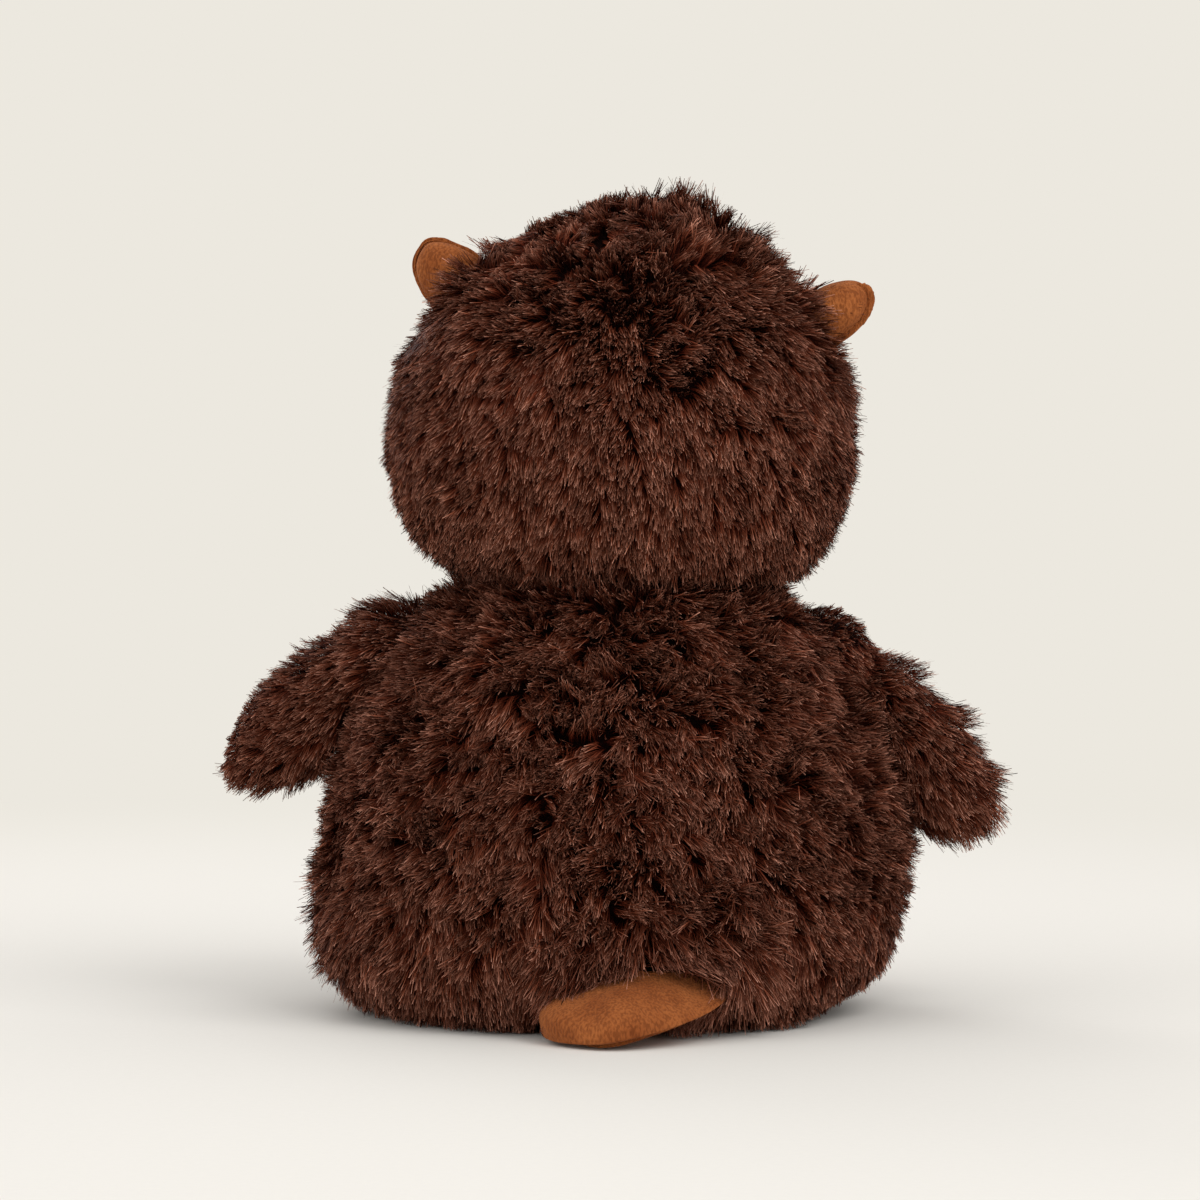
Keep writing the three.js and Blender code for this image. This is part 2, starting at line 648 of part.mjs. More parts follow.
function addFoot(side) {
  const foot = feet[side];
  const sweep = { axis: ACROSS, angles: stepsTo(-FOOT_LIFT) };
  const soleEdge = FOOT_LENGTH - SOLE_THICKNESS;
  const outside = limbSolid(foot, footForm, FOOT_ROOT, COVER, MEDIUM, sweep);
  const inside = limbSolid(foot, footForm, FOOT_ROOT, HOLLOW, COARSE, sweep);
  const skin = outside.subtract(inside).intersect(below(soleEdge - SEAM_GAP));
  addPiece(foot, `${side}_foot_fur`, skin, "fur");
  addPiece(foot, `${side}_foot_sole`, outside.intersect(above(soleEdge)), "suede");
  const filling = limbSolid(foot, footForm, FOOT_ROOT, STUFFING, COARSE, sweep);
  addPiece(foot, `${side}_foot_stuffing`, filling.intersect(below(soleEdge - SEAM_GAP)), "stuffing");
}

// Tail: two suede panels sewn round the rim over a thin pad, on a root gathered into the torso's seam

function addTail() {
  const tailForm = new StuffedForm({
    halfWidth: TAIL_HALF_WIDTH,
    front: TAIL_WIDEST + TAIL_ROOT / 2,
    back: TAIL_LENGTH - TAIL_WIDEST,
    widest: 0,
    above: TAIL_ABOVE,
    below: TAIL_BELOW,
    fullAbove: TAIL_FULLNESS,
    fullBelow: TAIL_FULLNESS,
  });
  const sweep = { axis: ACROSS, angles: stepsTo(TAIL_LIFT) };
  const paddle = (inset) => {
    const whole = moved(tailForm.solid(inset, MEDIUM), 0, TAIL_WIDEST, 0);
    return cutBy(whole, torsoInTheWay(tail, JOINT_GAP + inset, sweep));
  };
  const root = crossRod(TAIL_ROOT, TAIL_ROOT_LENGTH);
  const rootRoom = crossRod(TAIL_ROOT + SEAM_GAP, FAR);
  const skin = paddle(0).subtract(paddle(SUEDE));
  addPiece(tail, "tail_top_panel", skin.intersect(above(SEAM_GAP / 2)).add(root), "suede");
  addPiece(tail, "tail_under_panel", skin.intersect(below(-SEAM_GAP / 2)).subtract(rootRoom), "suede");
  addPiece(tail, "tail_stuffing", paddle(SUEDE + SEAM_GAP).subtract(rootRoom), "stuffing");
}

addTorso();
addNeck();
addHead();
for (const side of Object.keys(SIDES)) {
  addArm(side);
  addFoot(side);
}
addTail();

export default beaver;
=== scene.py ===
"""Looks of a seated plush beaver: furred hides, suede trim and a face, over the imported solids."""

import json
import math

import bmesh
import bpy
import numpy as np
from bpy.props import FloatProperty, FloatVectorProperty, PointerProperty
from bpy.types import Operator, Panel, PropertyGroup
from mathutils import Euler, Matrix, Vector
from mathutils.kdtree import KDTree


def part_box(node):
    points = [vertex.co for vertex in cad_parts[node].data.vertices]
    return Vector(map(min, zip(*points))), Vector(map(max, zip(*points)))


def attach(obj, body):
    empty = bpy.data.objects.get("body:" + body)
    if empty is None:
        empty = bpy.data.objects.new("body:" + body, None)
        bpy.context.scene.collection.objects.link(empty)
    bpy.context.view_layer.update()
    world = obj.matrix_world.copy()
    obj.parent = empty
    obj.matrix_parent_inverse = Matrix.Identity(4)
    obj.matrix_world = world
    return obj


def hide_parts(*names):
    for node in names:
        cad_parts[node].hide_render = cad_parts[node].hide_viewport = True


bl_info = {
    "name": "Plush beaver",
    "version": (1, 0, 0),
    "blender": (4, 5, 0),
    "location": "View3D > Sidebar > Beaver",
    "description": "Dresses the solids of a seated plush beaver in fur and suede",
    "category": "Add Mesh",
}

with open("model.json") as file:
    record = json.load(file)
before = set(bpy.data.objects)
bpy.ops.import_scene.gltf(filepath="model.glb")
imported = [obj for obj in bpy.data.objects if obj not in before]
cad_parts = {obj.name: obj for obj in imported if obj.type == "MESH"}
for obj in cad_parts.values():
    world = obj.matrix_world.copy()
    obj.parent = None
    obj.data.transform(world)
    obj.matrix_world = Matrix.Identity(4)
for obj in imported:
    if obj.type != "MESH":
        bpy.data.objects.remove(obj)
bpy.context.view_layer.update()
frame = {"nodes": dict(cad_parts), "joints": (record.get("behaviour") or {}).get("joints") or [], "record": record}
JOINTS = {joint["name"]: joint for joint in frame["joints"]}
SIDES = {"left": 1, "right": -1}
PHOTO_PIXELS = 1200
DOWN = np.array([0.0, 0.0, -1.0])
ELLIPSE = 2.0  # fullness of a form that is as round as an ellipse
NECK_GAP = 0.002  # between the neck seam and the hide above or below it
LUMP_SPACING = 0.045  # distance between the soft lumps of a stuffed hide
LUMP_SEED = 3


# Settings


def linear(red, green, blue):
    """A colour written as it looks, 0 to 255, as the light that it stands for."""
    shares = [value / 255 for value in (red, green, blue)]
    return tuple(s / 12.92 if s <= 0.04045 else ((s + 0.055) / 1.055) ** 2.4 for s in shares)


def length(name, text, millimetres):
    """A size that is set in millimetres."""
    metres = millimetres / 1000
    return FloatProperty(name=name, description=text, default=metres, unit="LENGTH", precision=5)


def angle(name, text, degrees):
    """A turn that is set in degrees."""
    return FloatProperty(name=name, description=text, default=math.radians(degrees), subtype="ANGLE")


def power(name, text, watts):
    """The power of a lamp."""
    return FloatProperty(name=name, description=text, default=watts, unit="POWER")


def number(name, text, value):
    """A plain number."""
    return FloatProperty(name=name, description=text, default=value)


def shares(name, text, values):
    """Shares at even steps along a limb."""
    return FloatVectorProperty(name=name, description=text, default=values, size=len(values))


def tint(name, text, red, green, blue):
    """A colour."""
    default = linear(red, green, blue)
    return FloatVectorProperty(name=name, description=text, default=default, subtype="COLOR", size=3)


class TorsoSizes(PropertyGroup):
    """The pear-shaped torso."""

    half_width: length("Half width", "Half the width at the widest level", 100)
    front: length("Front", "Reach of the belly from the middle", 84)
    back: length("Back", "Reach of the back from the middle", 92)
    widest: length("Widest level", "Height of the widest level", 44)
    above: length("Above", "Height of the pear over its widest level", 120)
    below: length("Below", "Depth of the pear under its widest level", 50)
    full_above: number("Fullness above", "2 is an ellipse, more is squarer", 2.0)
    full_below: number("Fullness below", "2 is an ellipse, more is squarer", 4.0)
    neck_fall: angle("Neck fall", "Slope of the top of the torso away from the neck", 3.5)


class HeadSizes(PropertyGroup):
    """The head, which leans and looks a little to one side."""

    half_width: length("Half width", "Half the width at the widest level", 81)
    front: length("Front", "Reach of the face from the middle", 72)
    back: length("Back", "Reach of the back of the head from the middle", 70)
    rise: length("Rise", "From the neck seam to the widest level", 45)
    above: length("Above", "Height over the widest level", 84)
    below: length("Below", "Depth under the widest level", 62)
    full_above: number("Fullness above", "2 is an ellipse, more is squarer", 1.8)
    full_below: number("Fullness below", "2 is an ellipse, more is squarer", 2.1)
    tilt: angle("Tilt", "Lean to the side", -6)
    turn: angle("Turn", "Look to the side", -6)
    neck_rise: angle("Neck rise", "Slope of the underside of the head away from the neck", 5.3)
    neck_radius: length("Neck radius", "Radius of the drawn-in neck", 46)
    tape_width: length("Tape width", "Width of the tape in the neck seam", 1.5)
    tape_thickness: length("Tape thickness", "Thickness of the tape in the neck seam", 0.7)
    tape_sink: length("Tape sink", "How far the tape is drawn into the seam", 1.5)
    parting: length("Parting", "Height over the neck where the pile parts on the back of the head", 95)


class ArmSizes(PropertyGroup):
    """The stubby arms."""

    length: length("Length", "From the shoulder to the tip", 79)
    half_width: length("Half width", "Half the width at the widest place", 22.5)
    half_depth: length("Half depth", "Half the depth at the widest place", 19)
    widest: length("Widest place", "Distance of the widest place from the shoulder", 30)
    behind: length("Behind", "Length of the arm behind the shoulder", 12)
    root: length("Root", "Radius of the hide round the shoulder", 16.5)
    socket: length("Socket", "Room round the root in the torso's hide", 2.5)
    full_tip: number("Fullness of the tip", "2 is an ellipse, more is squarer", 2.1)
    left_droop: angle("Left droop", "Left arm below the horizontal", 28)
    right_droop: angle("Right droop", "Right arm below the horizontal", 45)
    left_over: shares("Left over", "Shares of pile length on top of the left arm", (1.2, 1.3, 1.0, 0.4))
    right_over: shares("Right over", "Shares of pile length on top of the right arm", (0.55, 1.4, 1.5, 1.6))
    left_under: number("Left under", "Share of the pile's length under the left arm", 1.2)
    right_under: number("Right under", "Share of the pile's length under the right arm", 1.4)
    left_forward: angle("Left forward", "Left arm ahead of straight sideways", 24)
    right_forward: angle("Right forward", "Right arm ahead of straight sideways", 4)


class FootSizes(PropertyGroup):
    """The feet and their soles."""

    length: length("Length", "From the hip to the sole", 58)
    half_width: length("Half width", "Half the width at the widest place", 23)
    half_height: length("Half height", "Half the height at the widest place", 21)
    widest: length("Widest place", "Distance of the widest place from the hip", 34)
    behind: length("Behind", "Length of the foot behind the hip", 11)
    full_tip: number("Fullness of the tip", "2 is an ellipse, more is squarer", 3.5)
    sole: length("Sole", "Depth of the suede sole", 9)
    splay: angle("Splay", "Turn of each foot to its side", 14)


class TailSizes(PropertyGroup):
    """The flat tail."""

    length: length("Length", "From the seam to the tip", 44)
    half_width: length("Half width", "Half the width at the widest place", 30)
    above: length("Above", "Padding over the rim", 11)
    below: length("Below", "Padding under the rim", 3)
    widest: length("Widest place", "Distance of the widest place from the seam", 20)
    root: length("Root", "Radius of the gathered root", 6)
    fullness: number("Fullness", "2 is an ellipse, more is squarer", 2.2)
    bend: angle("Bend", "Turn of the tail to the side", -26)
    fall: angle("Fall", "Slope of the tail towards the ground", 15)
    roll: angle("Roll", "Rise of the right edge over the left one", 8)
    wrinkle: length("Wrinkle", "Depth of the soft dents in the padding", 0.6)
    sink: length("Sink", "Depth of the root in the pile of the torso", 4)
    tuck: length("Tuck", "How far the padding is drawn in under the pile of the torso", 3)
    sweep: length("Sweep", "How far the right edge is drawn back to the torso", 15)
    sag: length("Sag", "How far the right edge hangs down", 4)
    seam_level: length("Seam level", "Depth of the seam under the rim", 1.8)


class EarSizes(PropertyGroup):
    """The cupped ears."""

    level: length("Level", "Height over the widest level of the head", 48)
    left_lean: angle("Left lean", "Rise of the left ear above the horizontal", 30)
    right_lean: angle("Right lean", "Rise of the right ear above the horizontal", 38)
    half_width: length("Half width", "Half the width at the root", 13)
    height: length("Height", "From the root to the rim", 19)
    cup: length("Cup", "Depth of the cup", 8)
    left_sink: length("Left sink", "Depth of the left root in the head", 4)
    right_sink: length("Right sink", "Depth of the right root in the head", -1.5)
    left_shift: length("Left shift", "Left ear along the head towards the crown", 4.0)
    right_shift: length("Right shift", "Right ear along the head towards the crown", 0.6)
    root: length("Root", "Length of the ear below its root, in the pile", 2.5)
    fullness: number("Fullness", "2 is an ellipse, more is squarer", 2.2)
    roll: length("Roll", "How far the front layer goes on before its edge", 2.6)
    left_band: length("Left band", "Front layer's edge that shows round the left back layer", 1.2)
    right_band: length("Right band", "Front layer's edge that shows round the right back layer", 2.6)
    left_squeeze: number("Left squeeze", "Width of the left ear against its full width", 1.06)
    right_squeeze: number("Right squeeze", "Width of the right ear against its full width", 0.78)
    groove: length("Groove", "Depth of the groove between the back layer and the front layer's edge", 2.6)
    left_gap: length("Left gap", "Half the width of the left ear's groove", 0.6)
    right_gap: length("Right gap", "Half the width of the right ear's groove", 1)
    left_reach: number("Left reach", "Spread of the left front layer's edge against the ear's rim", 1.08)
    right_reach: number("Right reach", "Spread of the right front layer's edge against the ear's rim", 1.05)
    left_narrow: number("Left narrow", "Share of its width that the left ear lacks by the crown", 0.33)
    right_narrow: number("Right narrow", "Share of its width that the right ear lacks by the crown", 0.0)
    left_lopside: number("Left lopside", "How much wider the left edge is away from the crown", 0.02)
    right_lopside: number("Right lopside", "How much wider the right edge is away from the crown", 0.15)


class FaceSizes(PropertyGroup):
    """Muzzle, nose, teeth and eyes."""

    muzzle_level: length("Muzzle level", "Middle of the muzzle from the widest level of the head", -12)
    muzzle_half_width: length("Muzzle half width", "Half the width of the muzzle", 33)
    muzzle_half_height: length("Muzzle half height", "Half the height of the muzzle", 23)
    muzzle_reach: length("Muzzle reach", "How far the muzzle stands out of the face", 25)
    muzzle_depth: length("Muzzle depth", "How far the muzzle goes into the face", 12)
    cleft: length("Cleft", "Depth of the crease between the cheeks", 1.2)
    nose_level: length("Nose level", "Nose over the middle of the muzzle", 11)
    nose_half_width: length("Nose half width", "Half the width of the nose", 11)
    nose_half_height: length("Nose half height", "Half the height of the nose", 7)
    nose_reach: length("Nose reach", "How far the nose stands out", 7)
    nose_full_above: number("Nose fullness above", "2 is an ellipse, more is squarer", 2.4)
    nose_full_below: number("Nose fullness below", "2 is an ellipse, more is squarer", 1.8)
    tooth_level: length("Tooth level", "Top of the teeth from the middle of the muzzle", -9)
    tooth_width: length("Tooth width", "Width of a tooth", 8)
    tooth_length: length("Tooth length", "Length of a tooth", 17)
    tooth_thickness: length("Tooth thickness", "Thickness of the felt", 2)
    tooth_corner: length("Tooth corner", "Radius of the lower corners", 2.5)
    eye_level: length("Eye level", "Eyes over the widest level of the head", 13)
    eye_spread: length("Eye spread", "Eyes from the middle of the face", 30)
    eye_radius: length("Eye radius", "Radius of a bead eye", 6)
    eye_dome: length("Eye dome", "Height of a bead eye", 5.5)
    eye_sink: length("Eye sink", "How deep the bead sits in the pile", 3.7)


class FurLook(PropertyGroup):
    """The long pile."""

    backing: length("Backing", "Depth of the cloth backing under the outer face of the solids", 7.5)
    torso_pile: length("Torso pile", "Length of the pile on the torso", 12.5)
    head_pile: length("Head pile", "Length of the pile on the head", 9.5)
    arm_pile: length("Arm pile", "Length of the pile on the arms", 8.5)
    foot_pile: length("Foot pile", "Length of the pile on the feet", 8.5)
    face_pile: length("Face pile", "Length of the pile round the muzzle", 8)
    seat_pile: length("Seat pile", "Length of the pressed pile under the seat", 4)
    strand_width: length("Strand width", "Width of one strand", 0.25)
    lock_spacing: length("Lock spacing", "Distance between the locks that strands gather in", 1.3)
    tuft_spacing: length("Tuft spacing", "Distance between the tufts that locks gather in", 5)
    # Root colour: the pile's own dark roots, darkened further as painted shade deep in the pile.
    root_colour_and_shade: tint("Root colour", "Colour at the roots", 54, 10, 3)
    middle_colour: tint("Middle colour", "Colour half way up", 84, 34, 19)
    upper_colour: tint("Upper colour", "Colour just under the tips", 106, 57, 39)
    # Tip colour: the pile's own paler tips, made greyer and paler as a painted sheen.
    tip_colour_and_sheen: tint("Tip colour", "Colour at the tips", 150, 104, 86)
    backing_colour: tint("Backing colour", "Colour of the cloth under the pile", 26, 5, 2)


class TrimLook(PropertyGroup):
    """Suede, velour, felt and bead."""

    suede: length("Suede thickness", "Thickness of the suede", 1.6)
    seam: length("Seam gap", "Gap between layers that are sewn together", 0.3)
    suede_dark: tint("Suede dark", "Suede where the nap is brushed away", 142, 75, 34)
    suede_light: tint("Suede light", "Suede where the nap is brushed towards the eye", 178, 104, 54)
    velour: tint("Velour", "Nose", 40, 25, 21)
    felt: tint("Felt", "Teeth", 240, 235, 222)
    bead: tint("Bead", "Eyes", 10, 8, 7)
    tape: tint("Tape", "Neck seam", 42, 24, 17)


class StageLook(PropertyGroup):
    """Floor, light and camera."""

    backdrop: tint("Backdrop", "Background behind the toy", 236, 232, 223)
    floor: tint("Floor", "Floor round the toy", 233, 229, 222)
    floor_radius: length("Floor radius", "Radius of the floor", 6000)
    fade_start: length("Fade start", "Distance where the floor starts to turn into the backdrop", 350)
    fade_end: length("Fade end", "Distance where the floor is all backdrop", 1100)
    camera_distance: length("Camera distance", "From the camera to the toy", 1500)
    camera_turn: angle("Camera turn", "Camera round the toy from its front", 180)
    camera_rise: angle("Camera rise", "Camera above the horizontal", 6.5)
    aim: length("Aim", "Height over the floor that the camera looks at", 137.5)
    pixel: length("Pixel", "Size at the toy of one pixel of the photograph's frame", 0.3383)
    origin_across: number("Origin across", "Pixel column of the point under the seat", 611)
    sky: number("Sky", "Strength of the light from all round", 0.8)
    key: power("Key", "Power of the main lamp", 19)
    fill: power("Fill", "Power of the second lamp", 8)
    front: power("Front", "Power of the lamp before the face", 7)


class BeaverSettings(PropertyGroup):
    """Everything that can be set."""

    torso: PointerProperty(type=TorsoSizes)
    head: PointerProperty(type=HeadSizes)
    arms: PointerProperty(type=ArmSizes)
    feet: PointerProperty(type=FootSizes)
    tail: PointerProperty(type=TailSizes)
    ears: PointerProperty(type=EarSizes)
    face: PointerProperty(type=FaceSizes)
    fur: PointerProperty(type=FurLook)
    trim: PointerProperty(type=TrimLook)
    stage: PointerProperty(type=StageLook)


# Arithmetic on rows of points


def unit(rows):
    """Rows of vectors, each of length 1."""
    return rows / np.maximum(np.linalg.norm(rows, axis=1, keepdims=True), 1e-12)


def along_face(rows, normals):
    """Rows of vectors laid flat on the surface that has these normals."""
    return rows - normals * np.sum(rows * normals, axis=1, keepdims=True)


def ramp(values, low, high):
    """0 below low, 1 above high, and smooth between."""
    share = np.clip((values - low) / (high - low), 0, 1)
    return share * share * (3 - 2 * share)


def placed(matrix, rows):
    """Rows of points moved by a matrix."""
    whole = np.array(matrix)
    return rows @ whole[:3, :3].T + whole[:3, 3]


def turned(matrix, rows):
    """Rows of directions turned by a matrix."""
    return rows @ np.array(matrix)[:3, :3].T


def soft_noise(points, scale, seed):
    """Smooth noise from -1 to 1 that changes over a distance."""
    grid = points / scale
    corner = np.floor(grid).astype(np.int64)
    part = grid - corner
    part = part * part * (3 - 2 * part)
    total = np.zeros(len(points))
    for step in np.ndindex(2, 2, 2):
        cell = corner + np.array(step)
        mixed = cell @ np.array([73856093, 19349663, 83492791]) + seed * 40503
        mixed = (mixed ^ (mixed >> 13)) * 1274126177 & 0xFFFFFFFF
        value = ((mixed ^ (mixed >> 16)) & 0xFFFF) / 32767.5 - 1
        weight = np.prod(np.where(np.array(step) == 1, part, 1 - part), axis=1)
        total += weight * value
    return total


def nearest(places, points):
    """For each point, which of the places is nearest."""
    tree = KDTree(len(places))
    for index, place in enumerate(places):
        tree.insert(place, index)
    tree.balance()
    return np.array([tree.find(point)[1] for point in points])


# Stuffed forms


class StuffedForm:
    """A ball drawn out sideways, with its own height and fullness above and below its widest level."""

    def __init__(self, place, half_width, front_back, widest, above_below, fullness):
        self.place = place
        self.half_width = half_width
        self.front, self.back = front_back
        self.widest = widest
        self.above, self.below = above_below
        self.full_above, self.full_below = fullness

    def points(self, ball, inset):
        """Points of the form, in the part's frame, for points of a ball of radius 1."""
        across, forth, up = ball.T
        full = np.where(up > 0, self.full_above, self.full_below)
        spread = np.clip(np.hypot(across, forth), 1e-9, 1)
        swell = spread ** (2 / full) / spread
        depth = np.where(forth > 0, self.back, self.front) - inset
        reach = np.where(up > 0, self.above - inset, inset - self.below)
        rise = self.widest + reach * np.minimum(np.abs(up), 1) ** (2 / full)
        local = np.stack([across * swell * (self.half_width - inset), forth * swell * depth, rise], axis=1)
        return placed(self.place, local)

    def local(self, points):
        """Points of the part's frame as the form's own frame sees them."""
        return placed(self.place.inverted(), points)

    def nearness(self, points):
        """1 on the form's surface, less inside it and more outside."""
        across, forth, up = self.local(points).T
        level = up - self.widest
        full = np.where(level > 0, self.full_above, self.full_below)
        reach = np.where(level > 0, self.above, self.below)
        depth = np.where(forth > 0, self.back, self.front)
        spread = np.hypot(across / self.half_width, forth / depth)
        return (spread**full + np.abs(level / reach) ** full) ** (1 / full)

    def outside(self, points):
        """Points with those inside the form moved out to its surface."""
        near = np.clip(self.nearness(points), 0.05, 1)[:, None]
        middle = placed(self.place, np.array([[0, 0, self.widest]]))
        return middle + (points - middle) / near

    def share(self, height):
        """Share of the widest section that is left at a height."""
        level = height - self.widest
        above = level > 0
        full = self.full_above if above else self.full_below
        reach = self.above if above else self.below
        return (1 - abs(level / reach) ** full) ** (1 / full)

    def depth(self, across, height, towards):
        """Depth of the surface before or behind the middle."""
        reach = self.back if towards > 0 else self.front
        return towards * reach * math.sqrt(self.share(height) ** 2 - (across / self.half_width) ** 2)


def pivot(joint):
    """Where a joint turns."""
    return Vector(JOINTS[joint]["pos_m"])


def frame_at(position, nod=0.0, tilt=0.0, turn=0.0):
    """A frame at a position, nodded, then tilted, then turned."""
    return Matrix.Translation(position) @ Euler((nod, tilt, turn)).to_matrix().to_4x4()


def sided(settings, side, name):
    """A setting that each side has its own value of."""
    return getattr(settings, f"{side}_{name}")


def torso_form(sizes):
    """The torso's form."""
    torso = sizes.torso
    return StuffedForm(
        Matrix.Identity(4),
        torso.half_width,
        (torso.front, torso.back),
        torso.widest,
        (torso.above, torso.below),
        (torso.full_above, torso.full_below),
    )


def head_form(sizes):
    """The head's form."""
    head = sizes.head
    return StuffedForm(
        frame_at(pivot("head_turn"), tilt=head.tilt, turn=head.turn),
        head.half_width,
        (head.front, head.back),
        head.rise,
        (head.above, head.below),
        (head.full_above, head.full_below),
    )


def arm_form(sizes, side):
    """An arm's form, which runs along its own upward axis from the shoulder."""
    arms = sizes.arms
    sign = SIDES[side]
    droop = sign * (math.pi / 2 + sided(arms, side, "droop"))
    forward = -sign * sided(arms, side, "forward")
    return StuffedForm(
        frame_at(pivot(f"{side}_arm_lift"), tilt=droop, turn=forward),
        arms.half_width,
        (arms.half_depth, arms.half_depth),
        arms.widest,
        (arms.length - arms.widest, arms.widest + arms.behind),
        (arms.full_tip, ELLIPSE),
    )


def foot_form(sizes, side):
    """A foot's form, which runs along its own upward axis from the hip."""
    feet = sizes.feet
    return StuffedForm(
        frame_at(pivot(f"{side}_foot_lift"), nod=math.pi / 2, turn=SIDES[side] * feet.splay),
        feet.half_width,
        (feet.half_height, feet.half_height),
        feet.widest,
        (feet.length - feet.widest, feet.widest + feet.behind),
        (feet.full_tip, ELLIPSE),
    )


def tail_form(sizes, stretch=1.0, room=0.0):
    """The tail's form, a flat paddle, drawn out towards its root and thicker if asked."""
    tail = sizes.tail
    seam = frame_at(pivot("tail_lift"), nod=-tail.fall, tilt=tail.roll, turn=tail.bend)
    return StuffedForm(
        Matrix.Translation((0, -tail.tuck, 0)) @ seam @ Matrix.Translation((0, tail.widest, 0)),
        tail.half_width,
        (stretch * (tail.widest + tail.root / 2), tail.length - tail.widest),
        0.0,
        (tail.above + room, tail.below),
        (tail.fullness, tail.fullness),
    )


def ear_form(sizes, side):
    """An ear's form, whose back half is the cup."""
    ears = sizes.ears
    sign = SIDES[side]
    head = head_form(sizes)
    level = sizes.head.rise + ears.level
    reach = head.share(level) * sizes.head.half_width
    sink = sided(ears, side, "sink")
    lean = sided(ears, side, "lean")
    seat = Vector((sign * (reach - sink * math.cos(lean)), 0, level - sink * math.sin(lean)))
    shift = -sign * sided(ears, side, "shift")
    return StuffedForm(
        head.place @ frame_at(seat, tilt=sign * (math.pi / 2 - lean)) @ Matrix.Translation((shift, 0, 0)),
        sided(ears, side, "squeeze") * ears.half_width,
        (ears.cup, ears.cup),
        0.0,
        (ears.height, ears.height),
        (ears.fullness, ears.fullness),
    )


def muzzle_form(sizes):
    """The muzzle's form, on the front of the head."""
    face = sizes.face
    head = head_form(sizes)
    level = sizes.head.rise + face.muzzle_level
    return StuffedForm(
        head.place @ Matrix.Translation((0, head.depth(0, level, -1), 0)),
        face.muzzle_half_width,
        (face.muzzle_reach, face.muzzle_depth),
        level,
        (face.muzzle_half_height, face.muzzle_half_height),
        (ELLIPSE, ELLIPSE),
    )


def eye_frame(sizes, side):
    """The frame of an eye, which looks out of the face along its own upward axis."""
    face = sizes.face
    head = head_form(sizes)
    level = sizes.head.rise + face.eye_level
    across = SIDES[side] * face.eye_spread
    place = head.depth(across, level, -1)
    outward = Vector((across / head.half_width**2, place / head.front**2, face.eye_level / head.above**2))
    look = Vector((0, 0, 1)).rotation_difference(outward.normalized()).to_matrix().to_4x4()
    return head.place @ Matrix.Translation((across, place, level)) @ look


# Meshes


def object_of(name, work, material):
    """A finished piece from a bmesh, at the origin, smooth, with one material."""
    mesh = bpy.data.meshes.new(name)
    bmesh.ops.recalc_face_normals(work, faces=work.faces)
    work.to_mesh(mesh)
    work.free()
    mesh.shade_smooth()
    mesh.materials.append(material)
    piece = bpy.data.objects.new(name, mesh)
    bpy.context.scene.collection.objects.link(piece)
    return piece


def points_of(corners):
    """Corners of a mesh as rows of points."""
    return np.array([corner.co for corner in corners])


def put(corners, points):
    """Moves corners of a mesh to rows of points."""
    for corner, place in zip(corners, points):
        corner.co = place


def shaped_ball(work, form, inset, across=48, up=32):
    """Adds a ball to a bmesh and draws it out to a form."""
    corners = bmesh.ops.create_uvsphere(work, u_segments=across, v_segments=up, radius=1)["verts"]
    put(corners, form.points(points_of(corners), inset))
    work.normal_update()
    return corners


def push(corners, amount):
    """Moves corners along their normals by an amount each."""
    for corner, far in zip(corners, amount):
        corner.co += corner.normal * float(far)


def cut_away(work, place, point, direction):
    """Cuts off what lies on one side of a plane that is given in a frame."""
    bmesh.ops.bisect_plane(
        work,
        geom=[*work.verts, *work.edges, *work.faces],
        plane_co=place @ Vector(point),
        plane_no=place.to_3x3() @ Vector(direction),
        clear_outer=True,
    )


def thicken(piece, thickness):
    """Gives a shell its cloth thickness, inwards, and rounds its edges."""
    wall = piece.modifiers.new("Thickness", "SOLIDIFY")
    wall.thickness = thickness
    wall.offset = -1
    soften(piece)


def soften(piece):
    """Rounds a piece by subdivision."""
    smooth = piece.modifiers.new("Rounding", "SUBSURF")
    smooth.levels = 1
    smooth.render_levels = smooth.levels


def socketed(points, centre, outward, radius):
    """Points with a round socket pressed in, open in the outward direction."""
    axis = np.array(outward, dtype=float)
    away = points - centre
    height = away @ axis
    aside = np.linalg.norm(away - height[:, None] * axis, axis=1)
    floor = -np.sqrt(np.maximum(radius**2 - aside**2, 0))
    drop = np.where((aside < radius) & (height > floor), floor - height, 0)
    return points + drop[:, None] * axis


def outside_ball(points, centre, radius):
    """Points with those inside a ball moved out to it."""
    away = points - centre
    far = np.linalg.norm(away, axis=1)[:, None]
    return np.where(far < radius, centre + away / np.maximum(far, 1e-9) * radius, points)


def stuffed_hide(name, form, inset, lumps, material, trim):
    """The cloth under the pile of a stuffed form, trimmed and a little lumpy."""
    work = bmesh.new()
    corners = bmesh.ops.create_icosphere(work, subdivisions=6, radius=1)["verts"]
    points = trim(form.points(points_of(corners), inset))
    put(corners, points)
    work.normal_update()
    push(corners, lumps * soft_noise(points, LUMP_SPACING, LUMP_SEED))
    return object_of(name, work, material)


# Fur


class Coat:
    """How the pile grows on one hide: these answers hold where a coat gives none of its own."""

    density = 3.0  # strands per square millimetre, at most
    seed = 1
    solids = ()  # forms that the pile lies over

    def comb(self, points, normals):
        """How the pile leans along the hide: 0 stands upright, 1 lies flat."""
        raise NotImplementedError

    def pile(self, points):
        """Length of the pile."""
        raise NotImplementedError

    def wild(self, points):
        """How far locks stray from the comb."""
        return np.full(len(points), 0.3)

    def tousle(self, points):
        """How far the pile is gathered in tufts: 0 is fine and even, 1 is tousled."""
        return np.full(len(points), 0.2)

    def share(self, points):
        """Share of the full density."""
        return np.ones(len(points))

    def keep(self, points):
        """Where pile grows at all."""
        return np.ones(len(points), dtype=bool)


